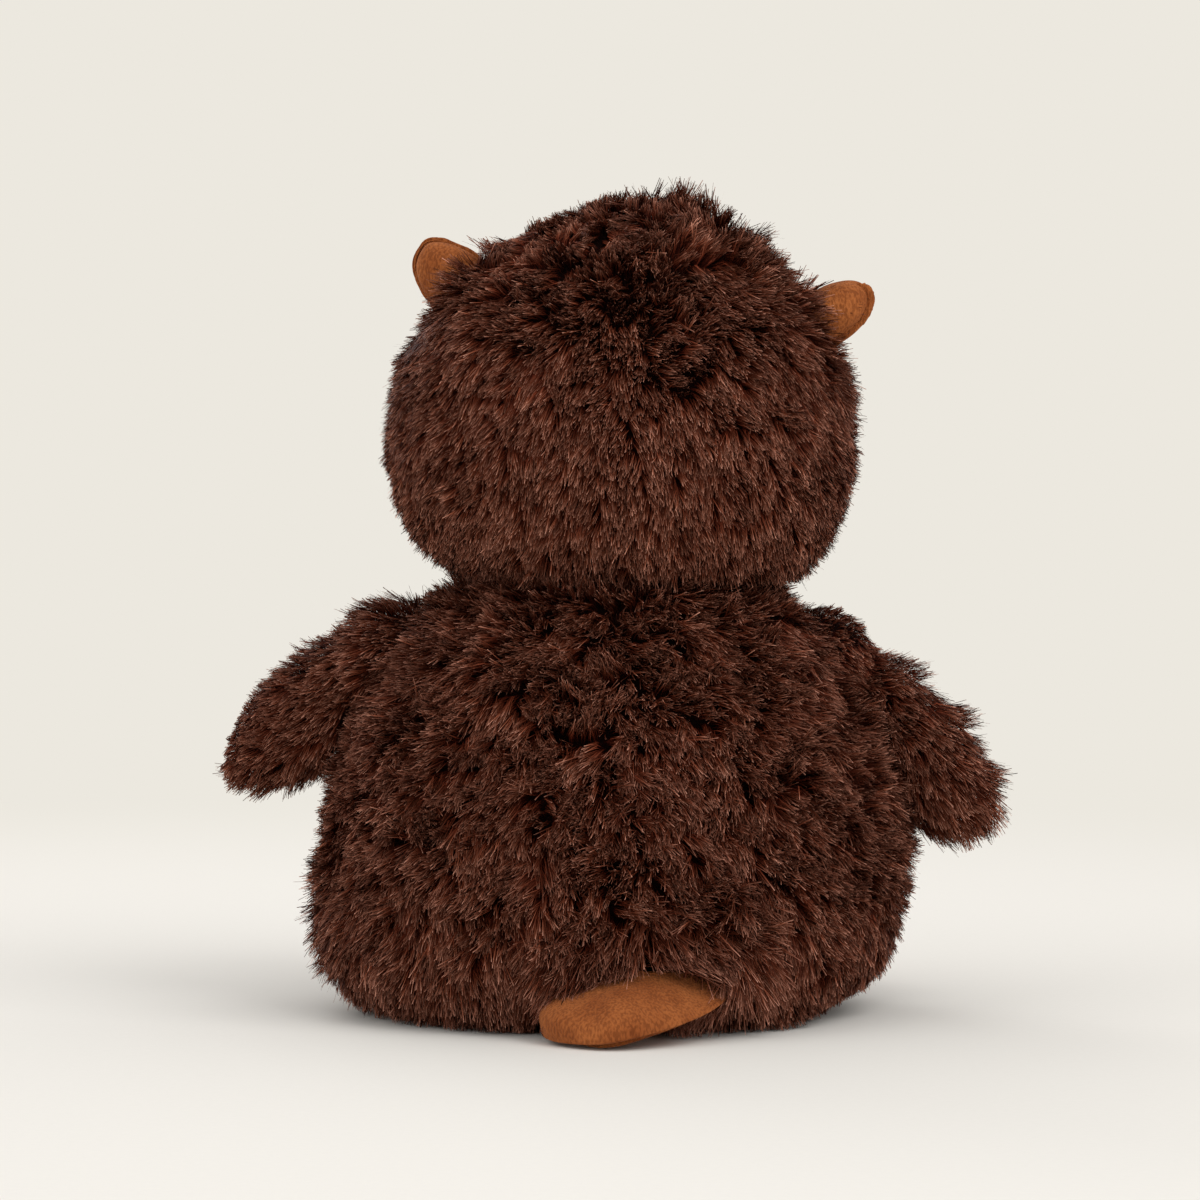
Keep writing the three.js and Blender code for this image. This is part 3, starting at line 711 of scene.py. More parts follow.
class Pelt:
    """The strands that grow on one hide."""

    ROOM = 0.0004  # the pile never goes below this height
    LOOSE = 0.1  # share of strands that stray from their lock
    CELLS = 64  # shades across the map
    SWIRL = 0.014  # distance over which the lie of the pile changes
    FLATTEST = 0.9  # lean of the flattest locks
    BUNCH = 0.25  # how far locks draw together in their tuft
    GATHER = 0.6  # share of the locks and tufts that a tousled pile lacks
    BLUNT = 0.75  # width of a strand at its tip against its middle
    STRAY = (0.7, 0.45, 0.3, 0.3)  # how far the swirl, the tuft, its tousle and chance lead a lock astray
    LENGTHS = (0.1, 0.1, 0.15)  # how far a lock's length varies by chance, by tuft and by its tousle
    ARCH = (0.25, 0.3)  # how high and how far along the lean a lock's half-way point lies
    SHADES = (0.1, 0.12, 0.42)  # how far the shade varies by tuft, by lock and by strand
    CLOSE = (0.4, 0.5)  # least share of their spread that strands keep at the tip, and how much that varies
    FLYAWAY = (0.12, 0.06)  # how far the tip of a loose strand and of any other strays, in lengths
    SWAY = (0.85, 0.03)  # share of their spread that strands keep half way, and how far they stray there
    CUT = (0.5, 1.5)  # how much of its upper half a strand can lack, and how seldom
    WIDTHS = (0.7, 0.6)  # least share of the strand's width, and how much that varies
    TWIST = 0.35  # how far strands face away from the hide's normal
    BOW = 0.5  # how round a strand looks across
    LIFT = 0.15  # how far a strand's shading follows the hide
    RIBBON = np.array([0, 1, 2, 2, 1, 3, 2, 3, 4])  # corners of a strand's three triangles
    EDGE = np.array([0, 1, -1, 1, -1])  # on which edge of the strand each corner is
    ROW = np.array([0.02, 0.5, 0.5, 0.98, 0.98])  # how far from root to tip each corner is
    CELL_SHARE = 0.35  # half the share of a shade's column that a strand takes

    def __init__(self, hide, coat, fur):
        self.rng = np.random.default_rng(coat.seed)
        self.coat = coat
        self.fur = fur
        self.measure(hide.data)
        roots, normals = self.scatter(int(self.area * 1e6 * coat.density))
        kept = coat.keep(roots) & (self.rng.random(len(roots)) < coat.share(roots))
        self.root = roots[kept]
        self.normal = normals[kept]
        self.grow(self.locks())

    def measure(self, mesh):
        """Reads the hide's triangles."""
        mesh.calc_loop_triangles()
        self.corners = np.empty((len(mesh.vertices), 3))
        mesh.vertices.foreach_get("co", self.corners.ravel())
        self.normals = np.empty((len(mesh.vertices), 3))
        mesh.vertex_normals.foreach_get("vector", self.normals.ravel())
        self.faces = np.empty((len(mesh.loop_triangles), 3), dtype=np.int32)
        mesh.loop_triangles.foreach_get("vertices", self.faces.ravel())
        first, second, third = (self.corners[self.faces[:, corner]] for corner in range(3))
        self.areas = np.linalg.norm(np.cross(second - first, third - first), axis=1) / 2
        self.area = self.areas.sum()

    def scatter(self, count):
        """Even random points on the hide, with their normals."""
        sums = np.cumsum(self.areas)
        picked = np.searchsorted(sums, self.rng.random(count) * sums[-1])
        picked = np.minimum(picked, len(self.areas) - 1)
        first = np.sqrt(self.rng.random(count))
        second = self.rng.random(count)
        weights = np.stack([1 - first, first * (1 - second), first * second], axis=1)
        corner = self.faces[picked]
        points = np.einsum("ij,ijk->ik", weights, self.corners[corner])
        normals = np.einsum("ij,ijk->ik", weights, self.normals[corner])
        return points, unit(normals)

    def thinned(self, spacing):
        """Places at a spacing, with their normals, further apart where the pile is tousled."""
        points, normals = self.scatter(int(self.area / spacing**2))
        kept = self.rng.random(len(points)) > self.GATHER * self.coat.tousle(points)
        return points[kept], normals[kept]

    def spread(self, count):
        """Random numbers from -1 to 1."""
        return self.rng.random(count) * 2 - 1

    def drift(self, count):
        """Random vectors."""
        return self.rng.normal(size=(count, 3))

    def locks(self):
        """Locks gathered in tufts: their places, half-way points, tips, lengths and shades."""
        coat = self.coat
        place, _ = self.thinned(self.fur.tuft_spacing)
        tuft_drift = self.drift(len(place))
        tuft_chance = self.spread(len(place))

        centre, normal = self.thinned(self.fur.lock_spacing)
        count = len(centre)
        tuft = nearest(place, centre)
        tousle = coat.tousle(centre)
        swirl = np.stack([soft_noise(centre, self.SWIRL, coat.seed + axis) for axis in range(3)], axis=1)
        by_swirl, by_tuft, by_tousle, by_chance = self.STRAY
        stray = by_swirl * swirl + (by_tuft + by_tousle * tousle)[:, None] * tuft_drift[tuft]
        stray = stray + by_chance * self.drift(count)
        lean = along_face(coat.comb(centre, normal) + coat.wild(centre)[:, None] * stray, normal)
        flat = np.linalg.norm(lean, axis=1, keepdims=True)
        lean *= np.minimum(1, self.FLATTEST / np.maximum(flat, 1e-9))
        upright = np.sqrt(1 - np.sum(lean**2, axis=1, keepdims=True))
        by_chance, by_tuft, by_tousle = self.LENGTHS
        chance = by_chance * self.spread(count) + (by_tuft + by_tousle * tousle) * tuft_chance[tuft]
        size = (coat.pile(centre) * (1 + chance))[:, None]
        high, along = self.ARCH
        middle = centre + size * (high * (1 + upright) * normal + along * lean)
        tip = centre + size * (upright * normal + lean)
        tip += (self.BUNCH * (1 + tousle))[:, None] * along_face(place[tuft] - centre, normal)
        shade = 0.5 + self.SHADES[0] * tuft_chance[tuft] + self.SHADES[1] * self.spread(count)
        return {
            "centre": centre,
            "middle": middle,
            "tip": tip,
            "shade": shade,
            "gather": self.CLOSE[0] + self.CLOSE[1] * self.rng.random(count),
            "size": size,
        }

    def grow(self, locks):
        """Strands from their own roots into the locks."""
        lock = nearest(locks["centre"], self.root)
        count = len(self.root)
        aside = self.root - locks["centre"][lock]
        size = locks["size"][lock]
        loose = self.rng.random(count) < self.LOOSE
        gather = np.where(loose, 1.0, locks["gather"][lock])[:, None]
        stray = np.where(loose, *self.FLYAWAY)[:, None] * size
        kept, sway = self.SWAY
        self.middle = locks["middle"][lock] + kept * aside + sway * size * self.drift(count)
        tip = locks["tip"][lock] + gather * aside + stray * self.drift(count)
        trim = 1 - self.CUT[0] * self.rng.random((count, 1)) ** self.CUT[1]
        self.tip = self.middle + (tip - self.middle) * trim
        # Each strand's shade, at random; the pile's material paints glints on the palest of them.
        self.shade = np.clip(locks["shade"][lock] + self.SHADES[2] * self.spread(count), 0, 0.999)
        least, more = self.WIDTHS
        self.width = self.fur.strand_width * (least + more * self.rng.random((count, 1)))
        self.facing = unit(self.normal + self.TWIST * self.drift(count))
        for form in self.coat.solids:
            self.middle = form.outside(self.middle)
            self.tip = form.outside(self.tip)
        for rows in (self.middle, self.tip):
            np.maximum(rows[:, 2], self.ROOM, out=rows[:, 2])

    def panel(self, name, material, inside):
        """One panel's strands as a piece: narrow bent ribbons, pointed at the root and cut blunt."""
        chosen = inside(self.root)
        root, middle, tip = self.root[chosen], self.middle[chosen], self.tip[chosen]
        count = len(root)
        lie = unit(tip - root)
        side = unit(np.cross(lie, self.facing[chosen]))
        half = side * self.width[chosen] / 2
        end = half * self.BLUNT
        corners = np.stack([root, middle + half, middle - half, tip + end, tip - end], axis=1)

        mesh = bpy.data.meshes.new(name)
        mesh.vertices.add(count * 5)
        mesh.vertices.foreach_set("co", corners.astype(np.float32).ravel())
        loops = np.arange(count)[:, None] * 5 + self.RIBBON
        mesh.loops.add(count * 9)
        mesh.loops.foreach_set("vertex_index", loops.astype(np.int32).ravel())
        mesh.polygons.add(count * 3)
        mesh.polygons.foreach_set("loop_start", np.arange(0, count * 9, 3, dtype=np.int32))
        mesh.update(calc_edges=True)
        mesh.shade_smooth()
        self.paint(mesh, self.shade[chosen])
        self.face_out(mesh, self.normal[chosen], side, [unit(middle - root), lie, unit(tip - middle)])
        mesh.materials.append(material)
        piece = bpy.data.objects.new(name, mesh)
        bpy.context.scene.collection.objects.link(piece)
        return piece

    def paint(self, mesh, shade):
        """A map whose columns are shades and whose rows run from root to tip."""
        column = (np.floor(shade * self.CELLS) + 0.5) / self.CELLS
        spread = self.CELL_SHARE / self.CELLS
        across = column[:, None] + spread * self.EDGE[self.RIBBON]
        along = np.broadcast_to(self.ROW[self.RIBBON], across.shape)
        layer = mesh.uv_layers.new(name="OFBake")
        layer.uv.foreach_set("vector", np.stack([across, along], axis=2).astype(np.float32).ravel())

    def face_out(self, mesh, normal, side, lies):
        """Normals that follow the hide and round each strand, so that locks catch the light together."""
        rows = []
        for corner, edge in enumerate(self.EDGE):
            round_lie = along_face(normal, lies[(corner + 1) // 2])
            rows.append(unit(round_lie + self.BOW * edge * side + self.LIFT * normal))
        mesh.normals_split_custom_set_from_vertices(np.stack(rows, axis=1).reshape(-1, 3))


# Materials


class Nodes:
    """A material's node tree, with short calls for the nodes that these finishes use."""

    def __init__(self, name):
        self.material = bpy.data.materials.new(name)
        self.material.use_nodes = True
        self.tree = self.material.node_tree
        self.shader = self.tree.nodes["Principled BSDF"]

    def add(self, kind, **values):
        node = self.tree.nodes.new(kind)
        for key, value in values.items():
            setattr(node, key, value)
        return node

    def link(self, out, into):
        self.tree.links.new(out, into)

    def set(self, **values):
        """Sets sockets of the shader that are the same all over."""
        for key, value in values.items():
            self.shader.inputs[key.replace("_", " ")].default_value = value

    def colour(self, out):
        """Gives the shader its colour."""
        self.link(out, self.shader.inputs["Base Color"])

    def ramp(self, value, stops):
        """A colour ramp through stops of (place, colour)."""
        node = self.add("ShaderNodeValToRGB")
        points = node.color_ramp.elements
        while len(points) < len(stops):
            points.new(1.0)
        for point, (place, shade) in zip(points, stops):
            point.position = place
            point.color = (*shade, 1)
        self.link(value, node.inputs["Fac"])
        return node.outputs["Color"]

    def noise(self, scale, detail=3.0, stretch=None, roughness=0.55):
        """Noise on the piece's own coordinates, stretched if asked."""
        where = self.add("ShaderNodeTexCoord").outputs["Object"]
        if stretch:
            mapping = self.add("ShaderNodeMapping")
            mapping.inputs["Scale"].default_value = stretch
            self.link(where, mapping.inputs["Vector"])
            where = mapping.outputs["Vector"]
        node = self.add("ShaderNodeTexNoise")
        node.inputs["Scale"].default_value = scale
        node.inputs["Detail"].default_value = detail
        node.inputs["Roughness"].default_value = roughness
        self.link(where, node.inputs["Vector"])
        return node.outputs["Fac"]

    def mix(self, first, second, share, blend="MIX"):
        """A mix of two colours by a share that is a number or a socket."""
        node = self.add("ShaderNodeMix", data_type="RGBA", blend_type=blend)
        for socket, value in ((node.inputs[6], first), (node.inputs[7], second), (node.inputs[0], share)):
            if hasattr(value, "is_output"):
                self.link(value, socket)
            elif isinstance(value, float):
                socket.default_value = value
            else:
                socket.default_value = (*value, 1)
        return node.outputs[2]

    def bump(self, height, distance):
        """Bump from a height, into the shader's normal."""
        node = self.add("ShaderNodeBump")
        node.inputs["Distance"].default_value = distance
        node.inputs["Strength"].default_value = 1.0
        self.link(height, node.inputs["Height"])
        self.link(node.outputs["Normal"], self.shader.inputs["Normal"])


def scaled(shade, factor):
    """A colour made darker or lighter."""
    return tuple(value * factor for value in shade)


def two_tone(name, noise, dark, pale, low_high=(0.3, 0.7), bump=None, **finish):
    """A finish whose noise goes from a dark shade to a pale one, with bump from the same noise if asked."""
    nodes = Nodes(name)
    pattern = nodes.noise(**noise)
    nodes.colour(nodes.ramp(pattern, list(zip(low_high, (dark, pale)))))
    nodes.set(**finish)
    if bump:
        nodes.bump(pattern, bump)
    return nodes.material


def fur_material(fur):
    """Pile with dark roots, partly painted shade, and pale tips, partly a painted sheen; each strand a little
    different, the palest with painted glints.
    """
    nodes = Nodes("dark_pile")
    strand = nodes.add("ShaderNodeUVMap", uv_map="OFBake")
    parts = nodes.add("ShaderNodeSeparateXYZ")
    nodes.link(strand.outputs["UV"], parts.inputs["Vector"])
    # From root to tip: dark roots with painted shade deep in the pile, the pile's own browns, and pale tips with a
    # painted sheen.
    stops = [
        (0.0, fur.root_colour_and_shade),
        (0.5, fur.middle_colour),
        (0.8, fur.upper_colour),
        (1.0, fur.tip_colour_and_sheen),
    ]
    along = nodes.ramp(parts.outputs["Y"], stops)
    # Tone of each strand, varying at random; the stops above 1, paler and greyer, paint glints on the palest
    # strands.
    tones_and_glints = [
        (0.0, (0.22, 0.15, 0.12)),
        (0.55, (0.8, 0.70, 0.66)),
        (0.82, (1.25, 1.22, 1.22)),
        (1.0, (2.4, 2.6, 2.7)),
    ]
    shade = nodes.ramp(parts.outputs["X"], tones_and_glints)
    nodes.colour(nodes.mix(along, shade, 1.0, "MULTIPLY"))
    nodes.set(Roughness=0.5, Specular_IOR_Level=0.03)
    return nodes.material


def backing_material(fur):
    """Knitted cloth that the pile stands in."""
    return two_tone(
        "pile_backing",
        {"scale": 900.0, "stretch": (1, 1, 2.5)},
        scaled(fur.backing_colour, 0.6),
        fur.backing_colour,
        bump=0.0006,
        Roughness=0.95,
        Specular_IOR_Level=0.1,
    )


def suede_material(trim):
    """Short suede nap, brushed lighter and darker in patches, with a fine diagonal grain."""
    nodes = Nodes("suede_nap")
    patches = nodes.noise(70.0, detail=2.0)
    grain = nodes.noise(1300.0, detail=1.0, stretch=(1, 1, 0.45), roughness=0.4)
    fibre = nodes.noise(3800.0, detail=1.0)
    brushed = nodes.ramp(patches, [(0.3, trim.suede_dark), (0.7, trim.suede_light)])
    speck = nodes.ramp(grain, [(0.38, (0.42, 0.34, 0.28)), (0.6, (1, 1, 1))])
    nap = nodes.mix(brushed, speck, 0.6, "MULTIPLY")
    nodes.colour(nap)
    nodes.set(Roughness=0.9, Specular_IOR_Level=0.15, Sheen_Weight=0.12, Sheen_Roughness=0.4)
    nodes.set(Sheen_Tint=(*linear(214, 160, 118), 1))
    nodes.bump(nodes.mix(grain, fibre, 0.3), 0.0009)
    return nodes.material


def velour_material(trim):
    """Short dark velour."""
    return two_tone(
        "velour_nap",
        {"scale": 2200.0, "detail": 2.0},
        trim.velour,
        scaled(trim.velour, 1.6),
        low_high=(0.35, 0.7),
        bump=0.0003,
        Roughness=0.85,
        Specular_IOR_Level=0.1,
        Sheen_Weight=0.12,
        Sheen_Roughness=0.5,
        Sheen_Tint=(*linear(150, 110, 95), 1),
    )


def felt_material(trim):
    """Pressed felt with short stray fibres."""
    return two_tone(
        "felt_fibre",
        {"scale": 1400.0, "detail": 4.0, "stretch": (1, 1, 0.3)},
        scaled(trim.felt, 0.86),
        trim.felt,
        low_high=(0.35, 0.65),
        bump=0.0003,
        Roughness=0.95,
        Specular_IOR_Level=0.1,
        Sheen_Weight=0.2,
    )


def bead_material(trim):
    """Polished bead with the faintest clouding."""
    return two_tone(
        "polished_bead",
        {"scale": 300.0},
        trim.bead,
        scaled(trim.bead, 1.8),
        Roughness=0.12,
        Specular_IOR_Level=0.25,
        Coat_Weight=0.15,
        Coat_Roughness=0.04,
    )


def woven_material(name, shade, scale):
    """Plain cloth, fibre or pellets inside the toy."""
    dark = scaled(shade, 0.7)
    return two_tone(name, {"scale": scale}, dark, shade, bump=0.0008, Roughness=0.9, Specular_IOR_Level=0.2)


def material_named(name, make, *values):
    """A material that is made once and shared."""
    return bpy.data.materials.get(name) or make(*values)


def dark_pile(sizes):
    return material_named("dark_pile", fur_material, sizes.fur)


def pile_backing(sizes):
    return material_named("pile_backing", backing_material, sizes.fur)


def tan_suede(sizes):
    return material_named("suede_nap", suede_material, sizes.trim)


def finish_piece(piece, body, nodes):
    """Puts a piece on its body and hides the solids that it stands for."""
    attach(piece, body)
    if nodes:
        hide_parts(*nodes)


# Operators


class TorsoCoat(Coat):
    """Tousled pile, sideways over the shoulders and down to the seat, where it is pressed short."""

    density = 3.6
    seed = 11
    NECK_CLEAR = 0.040  # no pile this close round the neck, down to the depth under it
    NECK_DEPTH = 0.02
    SHOULDER_CLEAR = 0.014
    FOOT_DEPTH = 0.8  # how deep in a foot the pile ends: 1 is its surface
    TAIL_STRETCH = 3.0  # how far the tail is drawn out towards its root where pile lies over it
    TAIL_ROOM = 0.001  # between the tail and the pile over it

    def __init__(self, sizes):
        self.fur = sizes.fur
        self.form = torso_form(sizes)
        self.neck = np.array(pivot("head_turn"))
        self.shoulders = [np.array(pivot(f"{side}_arm_lift")) for side in SIDES]
        self.feet = [foot_form(sizes, side) for side in SIDES]
        self.tail = tail_form(sizes)
        self.solids = (tail_form(sizes, self.TAIL_STRETCH, self.TAIL_ROOM),)

    def comb(self, points, normals):
        high = ramp(points[:, 2], 0.05, 0.13)
        low = ramp(-points[:, 2], -0.05, -0.015)
        down = 0.5 + 0.25 * low
        across = 0.7 * high * points[:, 0] / self.form.half_width
        down -= 0.15 * self.over_tail(points)
        flow = np.stack([across, np.zeros(len(points)), -down], axis=1)
        return along_face(flow, normals)

    def pile(self, points):
        height = points[:, 2]
        aside = points[:, 0] / self.form.half_width
        under = ramp(-height, -0.012, -0.004)
        corner = ramp(-height, -0.025, -0.01) * ramp(np.abs(aside), 0.5, 0.8)
        right = ramp(-aside, 0.5, 0.8) * ramp(-height, -0.06, -0.03)
        left = ramp(aside, 0.6, 0.9) * ramp(height, 0.035, 0.06)
        top = ramp(height, 0.12, 0.14)
        share = 1 - 0.25 * corner - 0.35 * right - 0.3 * left - 0.15 * top + 0.6 * self.over_tail(points)
        full = self.fur.torso_pile * share
        return full + (self.fur.seat_pile - full) * under

    def over_tail(self, points):
        """1 where the pile hangs over the tail."""
        across, forth, up = self.tail.local(points).T
        aside = ramp(-np.abs(across), -1.1 * self.tail.half_width, -0.8 * self.tail.half_width)
        return aside * ramp(-up, -0.036, -0.024) * (up > 0) * (points[:, 1] > 0)

    def wild(self, points):
        return 0.5 - 0.25 * ramp(-points[:, 2], -0.04, -0.01)

    def keep(self, points):
        clear = np.linalg.norm((points - self.neck)[:, :2], axis=1) > self.NECK_CLEAR
        clear |= points[:, 2] < self.neck[2] - self.NECK_DEPTH
        for shoulder in self.shoulders:
            clear &= np.linalg.norm(points - shoulder, axis=1) > self.SHOULDER_CLEAR
        for foot in self.feet:
            clear &= foot.nearness(points) > self.FOOT_DEPTH
        return clear & (self.tail.nearness(points) > 1)

    def share(self, points):
        front = ramp(-points[:, 1], -0.01, 0.03)
        under = ramp(-points[:, 2], -0.006, -0.0035)
        return (1 - 0.5 * front) * (1 - 0.75 * under)


class BEAVER_OT_torso(Operator):
    """Makes the torso's hide and the fur of its four panels"""

    bl_idname = "beaver.torso"
    bl_label = "Torso"

    LUMPS = 0.0016
    SEAT_HEIGHT = 0.003
    SEAT_EDGE = 0.0015  # how far up from the flat seat its own panel goes
    SPLIT = 0.07  # height at which the fur of a panel is parted into two pieces

    def execute(self, context):
        sizes = context.scene.beaver
        fur = sizes.fur
        neck = np.array(pivot("head_turn"))
        slope = math.tan(sizes.torso.neck_fall)

        def trim(points):
            """Flat under the seat, and sloped where the head sits."""
            points[:, 2] = np.maximum(points[:, 2], self.SEAT_HEIGHT)
            reach = np.linalg.norm((points - neck)[:, :2], axis=1)
            points[:, 2] = np.minimum(points[:, 2], neck[2] - slope * reach - NECK_GAP)
            points = socketed(points, neck, (0, 0, 1), sizes.head.neck_radius)
            for side, sign in SIDES.items():
                shoulder = np.array(pivot(f"{side}_arm_lift"))
                points = socketed(points, shoulder, (sign, 0, 0), sizes.arms.root + sizes.arms.socket)
            return points

        form = torso_form(sizes)
        hide = stuffed_hide("torso_hide", form, fur.backing, self.LUMPS, pile_backing(sizes), trim)
        finish_piece(hide, "torso", [])
        pelt = Pelt(hide, TorsoCoat(sizes), fur)
        flat = self.SEAT_HEIGHT + self.SEAT_EDGE
        seat = pelt.panel("torso_seat_fur", dark_pile(sizes), lambda p: p[:, 2] < flat)
        finish_piece(seat, "torso", ["torso_seat_panel"])
        for side, sign in SIDES.items():
            for level, low, high in (("lower", flat, self.SPLIT), ("upper", self.SPLIT, 1.0)):
                for cloth, panel, forth in (("back", f"back_{side}", 1), ("belly", "belly", -1)):

                    def inside(points, sign=sign, low=low, high=high, forth=forth):
                        beside = (points[:, 0] * sign > 0) & (points[:, 1] * forth > 0)
                        return beside & (points[:, 2] >= low) & (points[:, 2] < high)

                    piece = pelt.panel(f"torso_{cloth}_{side}_{level}_fur", dark_pile(sizes), inside)
                    finish_piece(piece, "torso", [f"torso_{panel}_panel"])
        return {"FINISHED"}


class HeadCoat(Coat):
    """Smooth pile that fans down from a parting, tousled over it, and short round the muzzle."""

    density = 3.8
    seed = 23
    NECK_CLEAR = 0.043  # no pile this close round the neck, up to the height over it
    NECK_HEIGHT = 0.02
    EYE_CLEAR = 0.0065
    EAR_CLEAR = 0.001  # round the cup of an ear
    EAR_DEPTH = 0.012  # above and below the root of an ear
    # Ear, place across it, reach and weight of longer and shorter pile behind the ears
    EAR_PILE = ((0, -0.009, 0.013, 0.9), (0, 0.015, 0.01, -0.3), (1, 0.001, 0.013, 0.55))

    def __init__(self, sizes):
        self.fur = sizes.fur
        self.form = head_form(sizes)
        self.parting = sizes.head.parting
        self.muzzle = muzzle_form(sizes)
        self.ears = [ear_form(sizes, side) for side in SIDES]
        self.solids = self.ears
        self.eyes = [np.array(eye_frame(sizes, side).translation) for side in SIDES]
        self.neck = np.array(pivot("head_turn"))

    def by_ear(self, points):
        """How much longer and more upright the pile is behind the roots of the ears."""
        near = np.zeros(len(points))
        for ear, across, reach, weight in self.EAR_PILE:
            away = self.ears[ear].local(points) - np.array([across, self.ears[ear].back, -0.004])
            near += weight * np.exp(-np.sum(away**2, axis=1) / reach**2)
        return near

    def crown(self, points):
        """1 over the parting on the back of the head."""
        local = self.form.local(points)
        return ramp(self.over(local), -0.012, 0.01) * ramp(local[:, 1], -0.02, 0.0)

    def over(self, local):
        """Height over the ragged parting."""
        return local[:, 2] - self.parting - 0.016 * soft_noise(local, 0.02, self.seed)

    def comb(self, points, normals):
        local = self.form.local(points)
        over = self.over(local)
        aside = local[:, 0] / self.form.half_width
        down = 0.72 * ramp(-over, -0.012, 0.026) - 0.12 * ramp(over, 0.008, 0.03)
        fan = 0.3 + 0.35 * ramp(over, -0.045, 0.0) + 0.8 * ramp(over, 0.0, 0.015) * ramp(aside, 0.1, 0.4)
        flow = np.stack([fan * aside, np.zeros(len(points)), -down], axis=1)
        front = ramp(-local[:, 1], -0.004, 0.02)[:, None]
        away = local - np.array([0, 0, self.muzzle.widest])
        away[:, 1] = 0
        flow = flow * (1 - front) + 0.65 * unit(away) * front
        flow *= 1 - 0.9 * self.by_ear(points)[:, None]
        return along_face(turned(self.form.place, flow), normals)

    def pile(self, points):
        local = self.form.local(points)
        front = ramp(-local[:, 1], 0.015, 0.05)
        level = local[:, 2] - self.form.widest
        left = ramp(local[:, 0], -0.012, 0.03)
        right = ramp(-local[:, 0], 0.012, 0.035)
        flank = ramp(np.abs(local[:, 0]) / self.form.half_width, 0.7, 0.95)
        middle = flank * ramp(level, -0.03, -0.015) * ramp(-level, -0.022, -0.008)
        high = flank * ramp(level, 0.015, 0.03)
        share = 1 + self.crown(points) * (0.3 + 0.25 * right - 0.8 * left) - 0.1 * middle + 0.5 * high
        share -= 0.15 * flank * ramp(-level, 0.0, 0.015)
        full = self.fur.head_pile * (share + self.by_ear(points))
        return full + (self.fur.face_pile - full) * front

    def wild(self, points):
        return 0.25 + 0.5 * self.crown(points)

    def tousle(self, points):
        return 0.1 + 0.9 * self.crown(points)

    def keep(self, points):
        inner = np.linalg.norm((points - self.neck)[:, :2], axis=1) < self.NECK_CLEAR
        height = points[:, 2] - self.neck[2]
        clear = ~((height < NECK_GAP) | (inner & (height < self.NECK_HEIGHT)))
        clear &= (self.muzzle.nearness(points) > 1.0) | (self.form.local(points)[:, 1] > 0)
        for ear in self.ears:
            across, forth, up = ear.local(points).T
            inside = (forth > -self.EAR_CLEAR) & (forth < ear.back + self.EAR_CLEAR)
            inside &= np.abs(across) < ear.half_width
            clear &= ~(inside & (np.abs(up) < self.EAR_DEPTH))
        for eye in self.eyes:
            clear &= np.linalg.norm(points - eye, axis=1) > self.EYE_CLEAR
        return clear

    def share(self, points):
        return 1 - 0.4 * ramp(-self.form.local(points)[:, 1], -0.01, 0.02)


class BEAVER_OT_head(Operator):
    """Makes the head's hide, its fur panels and the tape in the neck seam"""

    bl_idname = "beaver.head"
    bl_label = "Head"

    LUMPS = 0.0014
    NECK_SLACK = 0.003  # between the neck's ball and its socket in the torso

    def execute(self, context):
        sizes = context.scene.beaver
        fur = sizes.fur
        head = sizes.head
        form = head_form(sizes)
        neck = np.array(pivot("head_turn"))
        slope = math.tan(head.neck_rise)

        def trim(points):
            """Sloped underneath, where the head sits on the torso, round a ball that is the neck."""
            reach = np.linalg.norm((points - neck)[:, :2], axis=1)
            lowest = neck[2] + slope * reach + NECK_GAP
            ball = head.neck_radius - self.NECK_SLACK
            drop = np.sqrt(np.maximum(ball**2 - reach**2, 0))
            under = points[:, 2] < lowest
            points[:, 2] = np.where(under, np.where(reach < ball, neck[2] - drop, lowest), points[:, 2])
            return points

        hide = stuffed_hide("head_hide", form, fur.backing, self.LUMPS, pile_backing(sizes), trim)
        finish_piece(hide, "head", [])
        pelt = Pelt(hide, HeadCoat(sizes), fur)
        for cloth, sign in (("back", 1), ("face", -1)):
            for side, across in SIDES.items():

                def inside(points, sign=sign, across=across):
                    local = form.local(points)
                    return (local[:, 1] * sign > 0) & (local[:, 0] * across > 0)

                piece = pelt.panel(f"head_{cloth}_{side}_fur", dark_pile(sizes), inside)
                finish_piece(piece, "head", [f"head_{cloth}_panel"])
        self.add_tape(sizes, Vector(neck))
        return {"FINISHED"}

    def add_tape(self, sizes, neck):
        """The tape in the neck seam, a flat ring."""
        low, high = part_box("neck_seam_tape")
        outer = (high.x - low.x) / 2 - sizes.head.tape_sink
        work = bmesh.new()
        inner_end = work.verts.new((neck.x + outer - sizes.head.tape_width, neck.y, high.z))
        outer_end = work.verts.new((neck.x + outer, neck.y, high.z))
        edge = work.edges.new((inner_end, outer_end))
        bmesh.ops.spin(
            work,
            geom=[inner_end, outer_end, edge],
            cent=neck,
            axis=(0, 0, 1),
            angle=2 * math.pi,
            steps=96,
            use_merge=True,
        )
        tape = object_of("neck_tape_band", work, woven_material("neck_tape", sizes.trim.tape, 1600.0))
        thicken(tape, sizes.head.tape_thickness)
        finish_piece(tape, "neck_tape", ["neck_seam_tape"])


class LimbCoat(Coat):
    """Pile along a limb to its end, drooping a little, longer at its root."""

    LEAN = 0.62
    DROOP = 0.25
    DEPTH = 0.93  # how deep in the torso the pile starts: 1 is its surface

    def __init__(self, sizes, form, pile_length, seed):
        self.form = form
        self.torso = torso_form(sizes)
        self.axis = np.array(form.place.to_3x3() @ Vector((0, 0, 1)))
        self.pile_length = pile_length
        self.seed = seed

    def comb(self, points, normals):
        flow = np.tile(self.axis + self.DROOP * DOWN, (len(points), 1))
        return self.LEAN * unit(along_face(flow, normals))

    def pile(self, points):
        along = self.form.local(points)[:, 2]
        return self.pile_length * (1 + 0.15 * ramp(-along, -0.03, -0.005))

    def wild(self, points):
        return np.full(len(points), 0.28)

    def keep(self, points):
        return self.torso.nearness(points) > self.DEPTH


